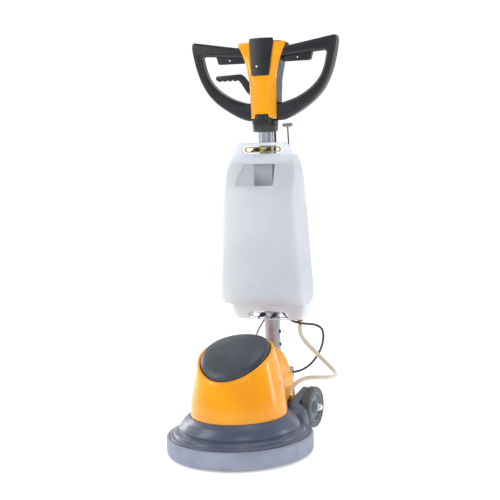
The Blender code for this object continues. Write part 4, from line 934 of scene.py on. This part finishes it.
def make_wheels():
    half = (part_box("wheel_tyre_right")[1].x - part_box("wheel_tyre_right")[0].x) / 2
    radius = (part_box("wheel_tyre_right")[1].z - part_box("wheel_tyre_right")[0].z) / 2
    tread = [(radius, half - 0.0052)]
    for i in range(3):
        z = (1 - i) * 0.0050
        tread += [(radius, z + 0.0010), (radius - 0.0008, z + 0.0006), (radius - 0.0008, z - 0.0006),
                  (radius, z - 0.0010)]
    tread.append((radius, 0.0052 - half))
    side = [(0.0595, half), (0.0560, half), (0.0552, half - 0.0008), (0.0500, half - 0.0008), (0.0490, half),
            (0.0460, half)]
    tyre = [(r, z) for r, z in reversed(side)] + tread + [(r, -z) for r, z in side]
    face = [(0.0457, half - 0.001), (0.0430, half - 0.001), (0.0424, half - 0.0022), (0.0404, half - 0.0024),
            (0.0396, half - 0.0050), (0.0372, 0.0050), (0.0345, 0.0046), (0.0330, 0.0062), (0.0300, 0.0062),
            (0.0285, 0.0048), (0.0190, 0.0054), (0.0170, half - 0.0015), (0.0155, half), (0.0083, half)]
    hub = face + [(r, -z) for r, z in reversed(face)]
    nut = [(0, 0.0180), (0.0025, 0.0178), (0.0050, 0.0170), (0.0075, 0.0152), (0.0090, 0.0130), (0.0096, 0.0108),
           (0.0098, 0.0080), (0.0112, 0.0072), (0.0115, 0.0062), (0.0115, 0.0006), (0.0086, 0.0004), (0.0086, 0.0120),
           (0, 0.0120)]
    for word, side_sign in (("left", -1), ("right", 1)):
        centre = middle("wheel_tyre_" + word)
        place = Matrix.Translation(centre) @ Matrix.Rotation(side_sign * pi / 2, 4, "Y")
        body = "wheel_" + word
        rubber = turned(f"wheel_tyre_{word}_piece", rounded(tyre, 0.0012, 3, loop=True), 128, place, closed=True)
        settle(rubber, body, RUBBER, "tyre_rubber", "wheel_tyre_" + word)
        centre_piece = turned(f"wheel_hub_{word}_piece", rounded(hub, 0.0008, 3, loop=True), 96, place, closed=True)
        settle(centre_piece, body, HUB, "hub_plastic", "wheel_hub_" + word)
        outside = place @ Matrix.Translation((0, 0, half))
        cap = turned(f"axle_nut_{word}_piece", rounded(nut, 0.0004, 2), 48, outside, angle=30)
        settle(cap, "base", CHROME, "chrome", "axle_nut_" + word)
    low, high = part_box("wheel_axle")
    axle = [(0, low.x), (0.0072, low.x), (0.0080, low.x + 0.0008), (0.0080, high.x - 0.0008), (0.0072, high.x),
            (0, high.x)]
    bar_piece = turned("wheel_axle_piece", axle, 48,
                       Matrix.Translation((0, AXLE.y, AXLE.z)) @ Matrix.Rotation(pi / 2, 4, "Y"))
    settle(bar_piece, "base", STEEL, "machined_steel", "wheel_axle")


# ---------------------------------------------------------------- yoke, tube and lock

def make_tube():
    bore = TUBE_R - 0.003
    pipe = [(TUBE_R, TUBE_TOP), (TUBE_R, TUBE_BOTTOM), (bore, TUBE_BOTTOM), (bore, TUBE_TOP)]
    tube = turned("handle_tube_piece", rounded(pipe, 0.0006, 2, loop=True), 96, Matrix.Translation((0, TUBE.y, 0)),
                  closed=True)
    settle(tube, "handle", COAT, "tube_paint", "handle_tube")
    for word in ("upper", "lower"):
        centre = middle("tube_bolt_" + word)
        head = [(0, 0.0030), (0.0020, 0.0030), (0.0024, 0.0038), (0.0036, 0.0034), (0.0048, 0.0022), (0.0052, 0.0008),
                (0.0052, 0), (0, 0)]
        place = Matrix.Translation((TUBE_R + GAP, TUBE.y, centre.z)) @ Matrix.Rotation(pi / 2, 4, "Y")
        bolt = turned(f"tube_bolt_{word}_piece", head, 40, place)
        settle(bolt, "handle", NYLON, "black_plastic", "tube_bolt_" + word)


def make_yoke_and_lock():
    yoke = from_node("handle_yoke_piece", "handle_yoke", 0.0015, 3)
    settle(yoke, "handle", ALUMINIUM, "cast_aluminium", "handle_yoke")
    quadrant = from_node("lock_quadrant_piece", "lock_quadrant", 0.0006)
    settle(quadrant, "base", GOLD_ZINC, "zinc_plate", "lock_quadrant")
    plunger = from_node("lock_plunger_piece", "lock_plunger", 0.0004)
    settle(plunger, "plunger", STEEL, "machined_steel", "lock_plunger")
    low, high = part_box("lock_spring")
    centre = (low + high) / 2
    radius = (high.x - low.x) / 2 - 0.0006
    spring = grow("lock_spring_piece", coil_tree(STEEL), {"Coil Radius": radius, "Wire Radius": 0.0006, "Turns": 3.0,
                                                          "Height": high.z - low.z - 0.0014})
    spring.data.transform(Matrix.Translation((centre.x, centre.y, low.z + 0.0007)))
    settle(spring, "handle", STEEL, "machined_steel", "lock_spring")
    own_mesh(spring)


# ---------------------------------------------------------------- tank

TANK_LEVELS = [(0.4000, 0.1180, 0.2150, 0.1900), (0.4040, 0.1270, 0.2060, 0.1720), (0.4120, 0.1335, 0.1980, 0.1570),
               (0.4300, 0.1370, 0.1930, 0.1460), (0.4700, 0.1365, 0.1920, 0.1420), (0.5600, 0.1310, 0.1930, 0.1400),
               (0.6600, 0.1260, 0.1950, 0.1390), (0.7200, 0.1225, 0.1970, 0.1400), (0.7450, 0.1205, 0.1990, 0.1440),
               (0.7700, 0.1185, 0.2020, 0.1590), (0.8000, 0.1150, 0.2090, 0.1835), (0.8300, 0.1090, 0.2190, 0.2080),
               (0.8460, 0.1030, 0.2260, 0.2190), (0.8530, 0.0960, 0.2290, 0.2240)]
CHANNEL_X, TANK_WALL = 0.0265, 0.0035


def tank_ring(z, half_width, edge_y, front_y, inset=0.0):
    """One level of the tank: bowed front, flat sides, and the channel for the tube behind."""
    w, back = half_width - inset, TANK_BACK - inset
    half = [Vector((0.0, front_y + inset))]
    for i in range(1, 21):
        angle = i * pi / 40
        half.append(Vector((w * sin(angle) ** 0.9, front_y + inset + (edge_y - front_y) * (1 - cos(angle)) ** 1.1)))
    channel = CHANNEL_X + inset
    behind = [(w, edge_y + 0.004), (w, back), (channel, back), (channel, WEB_BACK + 0.0005 - inset)]
    half += rounded(behind, 0.012 if not inset else 0.006, 5)
    return [Vector((x, y, z)) for x, y in half] + [Vector((-x, y, z)) for x, y in reversed(half[1:])]


def block_ring(z, half_width, front):
    plan = [(half_width, TANK_BACK), (half_width, front), (-half_width, front), (-half_width, TANK_BACK)]
    return [Vector((x, y, z)) for x, y in rounded(plan, 0.012, 5, loop=True)]


def slot_outline(z, half_width=0.0655, radius=0.0115):
    points = []
    for i in range(33):
        angle = -pi / 2 + pi * i / 32
        points.append((half_width - radius + radius * cos(angle), z + radius * sin(angle)))
    return points + [(-x, 2 * z - height) for x, height in points]


def make_tank():
    """Blow-moulded tank. Its solid outside is resurfaced and relaxed so that every edge is soft, and
    then the inside is taken out."""
    tank = skin("tank_piece", [tank_ring(*level) for level in flowing(TANK_LEVELS, 4)])
    foot = [(TANK_BOTTOM, 0.1040, WEB_FRONT + 0.004), (0.3540, 0.1100, WEB_FRONT),
            (0.3700, 0.1200, WEB_FRONT - 0.001), (0.3900, 0.1260, WEB_FRONT - 0.002),
            (0.4030, 0.1265, WEB_FRONT - 0.002)]
    tab = [(0.1030, 0.8360), (0.0975, 0.8640), (0.0880, 0.8850), (0.0780, 0.8925), (0.0660, TANK_TOP)]
    tab = [(-x, z) for x, z in tab[:1]] + tab + [(-x, z) for x, z in reversed(tab[1:])]
    web = (WEB_BACK + WEB_FRONT) / 2
    tank = carve(tank, [skin("cutter", [block_ring(*level) for level in foot]),
                        plate("cutter", [tab], WEB_BACK - WEB_FRONT, facing_front(web))], "UNION")
    past = TANK_BACK + 0.02
    tools = [block((-CHANNEL_X, WEB_BACK, 0.3), (CHANNEL_X, past, 0.95)),
             block((-0.0700, WEB_BACK, 0.3), (0.0700, past, 0.3860)),
             block((-0.0700, WEB_BACK, 0.8460), (0.0700, past, 0.95)),
             plate("cutter", [[(-0.0605, 0.7665), (0.0605, 0.7665), (0.0500, 0.8285), (-0.0500, 0.8285)]], 0.102,
                   facing_front(0.171))]
    tools += [plate("cutter", [slot_outline(z)], 0.060, facing_front(WEB_FRONT - 0.010))
              for z in (UPPER_SLOT_Z, LOWER_SLOT_Z)]
    tank = carve(tank, tools)
    surface = tank.modifiers.new("resurface", "REMESH")
    surface.mode = "VOXEL"
    surface.voxel_size = 0.0027
    relax = tank.modifiers.new("relax", "SMOOTH")
    relax.factor, relax.iterations = 0.5, 6
    strip = block((-0.0760, WEB_FRONT + 0.0005, TANK_BOTTOM), (0.0760, WEB_BACK - 0.0005, TANK_BOTTOM + 0.0024))
    tank = carve(bake(tank, 180), [strip], "UNION", 180)
    inner = [tank_ring(z, w, edge, front, TANK_WALL) for z, w, edge, front in flowing(TANK_LEVELS[1:-2], 3)]
    tools = [skin("cutter", inner), bar(0.0050, (0.0770, TUBE.y, 0.82), (0.0755, TUBE.y, 0.88)),
             bar(0.0045, (VALVE_SEAT.x, TUBE.y, 0.34), (VALVE_SEAT.x, TUBE.y, 0.36))]
    for side in (-1, 1):
        low = (min(side * 0.0740, side * 0.1000), WEB_BACK + 0.003, 0.3560)
        high = (max(side * 0.0740, side * 0.1000), TANK_BACK - TANK_WALL, 0.4080)
        tools.append(block(low, high))
    tank = carve(tank, tools, angle=42)
    settle(tank, "handle", POLYTHENE, "tank_polythene", "tank")


def make_brackets():
    for word, z, finish in (("upper", UPPER_SLOT_Z, GOLD_ZINC), ("lower", LOWER_SLOT_Z, BLUE_ZINC)):
        window = slot_outline(z, WINDOW_HALF, WINDOW_R)
        windows = [[(x + side * WINDOW_X, height) for x, height in window] for side in (-1, 1)]
        strip = plate(word + "_bracket_piece", [slot_outline(z, 0.0600, 0.0085)] + windows, 0.0022,
                      facing_front(middle(word + "_bracket").y), 0.0005, 2)
        settle(strip, "handle", finish, "zinc_plate", word + "_bracket")
        for hand in ("left", "right"):
            name = f"{word}_latch_{hand}"
            settle(from_node(name + "_piece", name, 0.0005, 2), name + "_body", NYLON, "black_plastic", name)


def make_valve():
    run = VALVE_TOP - VALVE_SEAT
    lean = run.to_track_quat("Z", "Y").to_matrix().to_4x4()
    length = run.length
    shaft = [(0, length), (0.0022, length), (0.0022, 0.0150), (0.0070, 0.0120), (0.0070, 0.0030), (0.0055, 0), (0, 0)]
    rod = turned("valve_rod_piece", rounded(shaft, 0.0006, 2), 32, Matrix.Translation(VALVE_SEAT) @ lean)
    settle(rod, "valve", BRASS, "brass", "valve_rod")
    place = Matrix.Translation(VALVE_TOP) @ lean
    head = [(0, 0.0112), (0.0110, 0.0112), (0.0128, 0.0120), (0.0146, 0.0108), (0.0154, 0.0085), (0.0154, 0.0045),
            (0.0146, 0.0024), (0.0105, 0.0010), (0.0060, 0.0003), (0, 0.0003)]
    knob = turned("valve_knob_piece", rounded(head, 0.0010, 3), 64, place)
    settle(knob, "valve", HUB, "hub_plastic", "valve_knob")
    face = rounded([(0, 0.0118), (0.0100, 0.0118), (0.0106, 0.0113), (0, 0.0110)], 0.0002, 2)
    disc = turned("valve_knob_top", face, 48, place)
    settle(disc, "valve", GREY, "hub_plastic")
    flutes = ringed("valve_knob_flutes", HUB, [(0, 0), (0.0007, 0.0005), (0.0007, 0.0035), (0, 0.0040)], 24, 0.0150,
                    place @ Matrix.Translation((0, 0, 0.0045)), 8)
    settle(flutes, "valve", HUB, "hub_plastic")


# ---------------------------------------------------------------- head

FRAME_OUTER = [(0.030, 0.990), (0.043, 0.958), (0.085, 0.967), (0.140, 0.9985), (0.172, 1.0245), (0.195, 1.0520),
               (0.216, 1.0920), (0.231, 1.1400), (0.2385, 1.1800), (0.2380, 1.1960), (0.2320, 1.2030)]
FRAME_HOLE = [(0.2060, 1.1540), (0.2030, 1.1400), (0.1960, 1.1130), (0.1830, 1.0850), (0.1640, 1.0630),
              (0.1400, 1.0440), (0.1020, 1.0240), (0.0600, 1.0110)]


def mirrored(points):
    return points + [(-x, z) for x, z in reversed(points) if abs(x) > 0.0001]


def make_frame():
    """Two bow-shaped loops in one moulding with well rounded edges, slotted for the triggers."""
    outer = [(0.0, 0.990)] + flowing(FRAME_OUTER, 6)
    outer += [(0.2240, 1.2020), (0.0900, 1.1805), (0.0, 1.1760)]
    outline = rounded(mirrored(outer), 0.006, 3, loop=True)
    hole = flowing(FRAME_HOLE, 6) + [(0.0180, 1.0110), (0.0180, 1.1450), (0.0620, 1.1480), (0.2000, 1.1585)]
    hole = rounded(hole, 0.005, 3, loop=True)
    holes = [hole, [(-x, z) for x, z in reversed(hole)]]
    depth = FRAME_BACK - FRAME_FRONT
    place = facing_front((FRAME_FRONT + FRAME_BACK) / 2)
    body = plate("handle_frame_piece", [outline] + holes, depth, place, 0.0080, 5)
    tools = []
    for side in (-1, 1):
        low = (min(side * 0.0560, side * 0.1610), TRIGGER_Y - 0.0095, 1.1300)
        high = (max(side * 0.0560, side * 0.1610), TRIGGER_Y + 0.0095, 1.1730)
        tools.append(block(low, high))
    tools.append(bar(TUBE_R + GAP, (0, TUBE.y, 0.95), (0, TUBE.y, TUBE_TOP + GAP), 64))
    body = carve(body, tools, angle=30)
    settle(body, "handle", NYLON, "handle_plastic", "handle_frame")


SHELL_SIDE = [(0.9640, 0.0420), (1.0000, 0.0425), (1.0400, 0.0435), (1.0820, 0.0455), (1.1180, 0.0520),
              (1.1550, 0.0640), (SHELL_TOP, SHELL_TOP_HALF)]


def shell_row(z, half_width, front, back, bevel):
    """One level of the front shell: a slightly crowned face that rolls over into flat flanks."""
    bevel = min(bevel, (back - front) * 0.8)
    half = [(0.0, front)]
    for i in range(1, 7):
        x = (half_width - bevel * 1.6) * i / 6
        half.append((x, front + bevel * 0.15 * (i / 6) ** 2))
    half += [tuple(p) for p in rounded([half[-1], (half_width - bevel * 0.25, front + bevel), (half_width, back)],
                                       bevel * 0.7, 4)]
    return [Vector((x, y, z)) for x, y in half] + [Vector((-x, y, z)) for x, y in reversed(half[1:])]


def make_front_shell():
    """Orange-yellow face of the head: waisted, flared at the top and leaning back, its flanks broad low
    down and narrow above."""
    back = FRAME_FRONT - GAP
    rings = []
    for z, half_width in flowing(SHELL_SIDE, 6):
        front = SHELL_FRONT + LEAN * max(0.0, z - LEAN_FROM)
        foot = max(0.0, 1 - (z - 0.9640) / 0.006)
        flank = SHELL_BEVEL + 0.0085 * max(0.0, min(1.0, (1.110 - z) / 0.050))
        rings.append(shell_row(z, half_width, front + 0.004 * foot ** 2, back, flank))
    front = SHELL_FRONT + LEAN * (SHELL_TOP - LEAN_FROM)
    for turn in (0.3, 0.6, 0.85):
        angle = turn * pi / 2
        away = 1 - cos(angle)
        rings.append(shell_row(SHELL_TOP + 0.0052 * sin(angle), SHELL_TOP_HALF - 0.0060 * away, front + 0.0020 * away,
                               back, SHELL_BEVEL))
    shell = skin("front_shell_piece", rings, angle=50)
    notch = plate("cutter", [[(-0.0290, 0.950), (0.0290, 0.950), (0.0205, 0.9780), (-0.0205, 0.9780)]], 0.08,
                  facing_front(back - 0.01))
    socket = bar(TUBE_R + GAP, (0, TUBE.y, 0.95), (0, TUBE.y, TUBE_TOP + GAP), 64)
    shell = carve(shell, [notch, socket], angle=34)
    settle(shell, "handle", YELLOW, "yellow_plastic", "front_shell")


def make_panel():
    """Black insert that follows the face's lean, with rounded edges and a small light window."""
    side = [(0.0, 1.0930), (0.0285, 1.0930), (0.0400, 1.1960), (0.0392, 1.2030), (0.0340, 1.2052), (0.0, 1.2060)]
    outline = rounded(mirrored(side), 0.0028, 4, loop=True)
    y = SHELL_FRONT - GAP - 0.00175
    panel = plate("insert_panel_piece", [outline], 0.0035, facing_front(y), 0.0011, 3)
    for vertex in panel.data.vertices:
        vertex.co.y += LEAN * (vertex.co.z - LEAN_FROM)
    settle(panel, "handle", NYLON, "black_plastic", "insert_panel")
    centre = middle("status_lens")
    dome = [(0, 0.0012), (0.0009, 0.0011), (0.0017, 0.0008), (0.0024, 0.0003), (0.0026, 0), (0, 0)]
    place = Matrix.Translation((centre.x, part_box("status_lens")[1].y, centre.z)) @ Matrix.Rotation(pi / 2, 4, "X")
    lens = turned("status_lens_piece", dome, 32, place)
    settle(lens, "handle", LENS, "lens", "status_lens")


def make_rear_shell():
    side = [(0.0400, 0.9850), (0.0410, 1.0100), (0.0425, 1.0400), (0.0450, 1.0800), (0.0560, 1.1300),
            (0.0740, 1.1870), (0.0500, 1.1970), (0.0, 1.1990)]
    outline = rounded(mirrored(side), 0.010, 4, loop=True)
    start = FRAME_FRONT + GAP
    shell = plate("rear_shell_piece", [outline], REAR_BACK - start, facing_front((REAR_BACK + start) / 2), 0.0055, 4)
    cavity = [(x * 0.90, 1.09 + (z - 1.09) * 0.94) for x, z in side]
    hollow = plate("cutter", [mirrored(cavity)], 0.060, facing_front(REAR_BACK - 0.0335))
    low_y, high_y = FRAME_FRONT - 0.01, FRAME_BACK + GAP
    tools = [hollow, block((-0.10, low_y, 1.1440), (0.10, high_y, 1.25)),
             block((-0.10, low_y, 0.95), (0.10, high_y, 1.0125)),
             block((-0.060, low_y, 1.0300), (-0.0360, 0.2720, 1.0970))]
    shell = carve(shell, tools, angle=34)
    settle(shell, "handle", GREY, "cap_plastic", "rear_shell")
    head = [(0, 0.0006), (0.0012, 0.0006), (0.0016, 0.0014), (0.0030, 0.0012), (0.0036, 0.0002), (0.0036, 0), (0, 0)]
    place = Matrix.Translation((0, REAR_BACK, 1.095)) @ Matrix.Rotation(-pi / 2, 4, "X")
    screws = ringed("rear_shell_screws", STEEL, head, 4, 0.052, place @ Matrix.Rotation(pi / 4, 4, "Z"), 24)
    for vertex in screws.data.vertices:
        vertex.co.x *= 0.78
        vertex.co.z = 1.095 + (vertex.co.z - 1.095) * 1.5
    settle(screws, "handle", STEEL, "machined_steel")


def make_controls():
    settle(from_node("head_collar_piece", "head_collar", 0.0016, 3), "handle", NYLON, "handle_plastic", "head_collar")
    settle(from_node("lever_pin_piece", "lever_pin", 0.0004), "handle", STEEL, "machined_steel", "lever_pin")
    upper = [(-0.0235, 1.0395), (-0.0480, 1.0720), (-0.0640, 1.0930), (-0.0760, 1.1010), (-0.1180, 1.0990),
             (-0.1580, 1.0975), (-0.1600, 1.0880), (-0.1545, 1.0830)]
    bumps = []
    for i in range(4):
        x = -0.1480 + 0.0165 * i
        rise = 0.0003 * i * i
        bumps += [(x - 0.004, 1.0825 + rise), (x, 1.0800), (x + 0.004, 1.0801), (x + 0.008, 1.0838 - rise)]
    lower = [(-0.0850, 1.0830), (-0.0760, 1.0750), (-0.0560, 1.0440)]
    turns = [radians(a) for a in range(215, 391, 25)]
    eye = [(LEVER_PIN.x + 0.008 * cos(a), LEVER_PIN.z + 0.008 * sin(a)) for a in turns]
    outline = rounded(upper + bumps + lower + eye, 0.0030, 4, loop=True)
    lever = plate("lock_lever_piece", [outline], 0.0120, facing_front(middle("lock_lever").y), 0.0016, 3)
    lever = carve(lever, [bar(0.0033, LEVER_PIN - Vector((0, 0.02, 0)), LEVER_PIN + Vector((0, 0.02, 0)))])
    settle(lever, "lever", NYLON, "black_plastic", "lock_lever")
    shape = [(0.0620, 1.1340), (0.0660, 1.1315), (0.1480, 1.1320), (0.1520, 1.1345), (0.1585, 1.1570),
             (0.1560, 1.1600), (0.0660, 1.1580), (0.0620, 1.1550)]
    for word, side in (("left", -1), ("right", 1)):
        points = rounded([(side * x, z) for x, z in shape], 0.0022, 4, loop=True)
        x = side * TRIGGER_PIN_X
        trigger = plate(f"trigger_{word}_piece", [points], 0.0160, facing_front(TRIGGER_Y), 0.0018, 3)
        trigger = carve(trigger, [bar(0.0026, (x, 0.25, TRIGGER_PIN_Z), (x, 0.30, TRIGGER_PIN_Z), 32)])
        settle(trigger, f"trigger_{word}_body", NYLON, "black_plastic", "trigger_" + word)
        place = Matrix.Translation((x, TRIGGER_Y - 0.0080, TRIGGER_PIN_Z)) @ Matrix.Rotation(pi / 2, 4, "X")
        dome = [(0, 0.0010), (0.0014, 0.0008), (0.0024, 0.0002), (0.0024, -0.0040), (0, -0.0040)]
        head = turned(f"trigger_{word}_rivet", dome, 24, place)
        settle(head, f"trigger_{word}_body", CHROME, "chrome")


# ---------------------------------------------------------------- parts inside the covers

def finish_inner_parts():
    """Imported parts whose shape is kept: gears, bearings, motor and driver get their real finishes."""
    finishes = {STEEL: ["planet_carrier", "planet_gear_1", "planet_gear_2", "planet_gear_3", "ring_gear",
                        "lower_bearing", "upper_bearing", "motor_rotor"],
                ALUMINIUM: ["gearbox_housing", "gearbox_lid", "motor_stator", "motor_end_bell", "start_capacitor"],
                NYLON: ["pad_driver", "cooling_fan"]}
    for finish, names in finishes.items():
        for name in names:
            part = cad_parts[name]
            part.data.materials.clear()
            part.data.materials.append(finish)


make_camera()
make_studio()
make_cords()
make_deck()
make_pad()
make_motor_cover()
make_cap()
make_rear_cover()
make_gland_and_barb()
make_wheels()
make_tube()
make_yoke_and_lock()
make_tank()
make_brackets()
make_valve()
make_frame()
make_front_shell()
make_panel()
make_rear_shell()
make_controls()
finish_inner_parts()
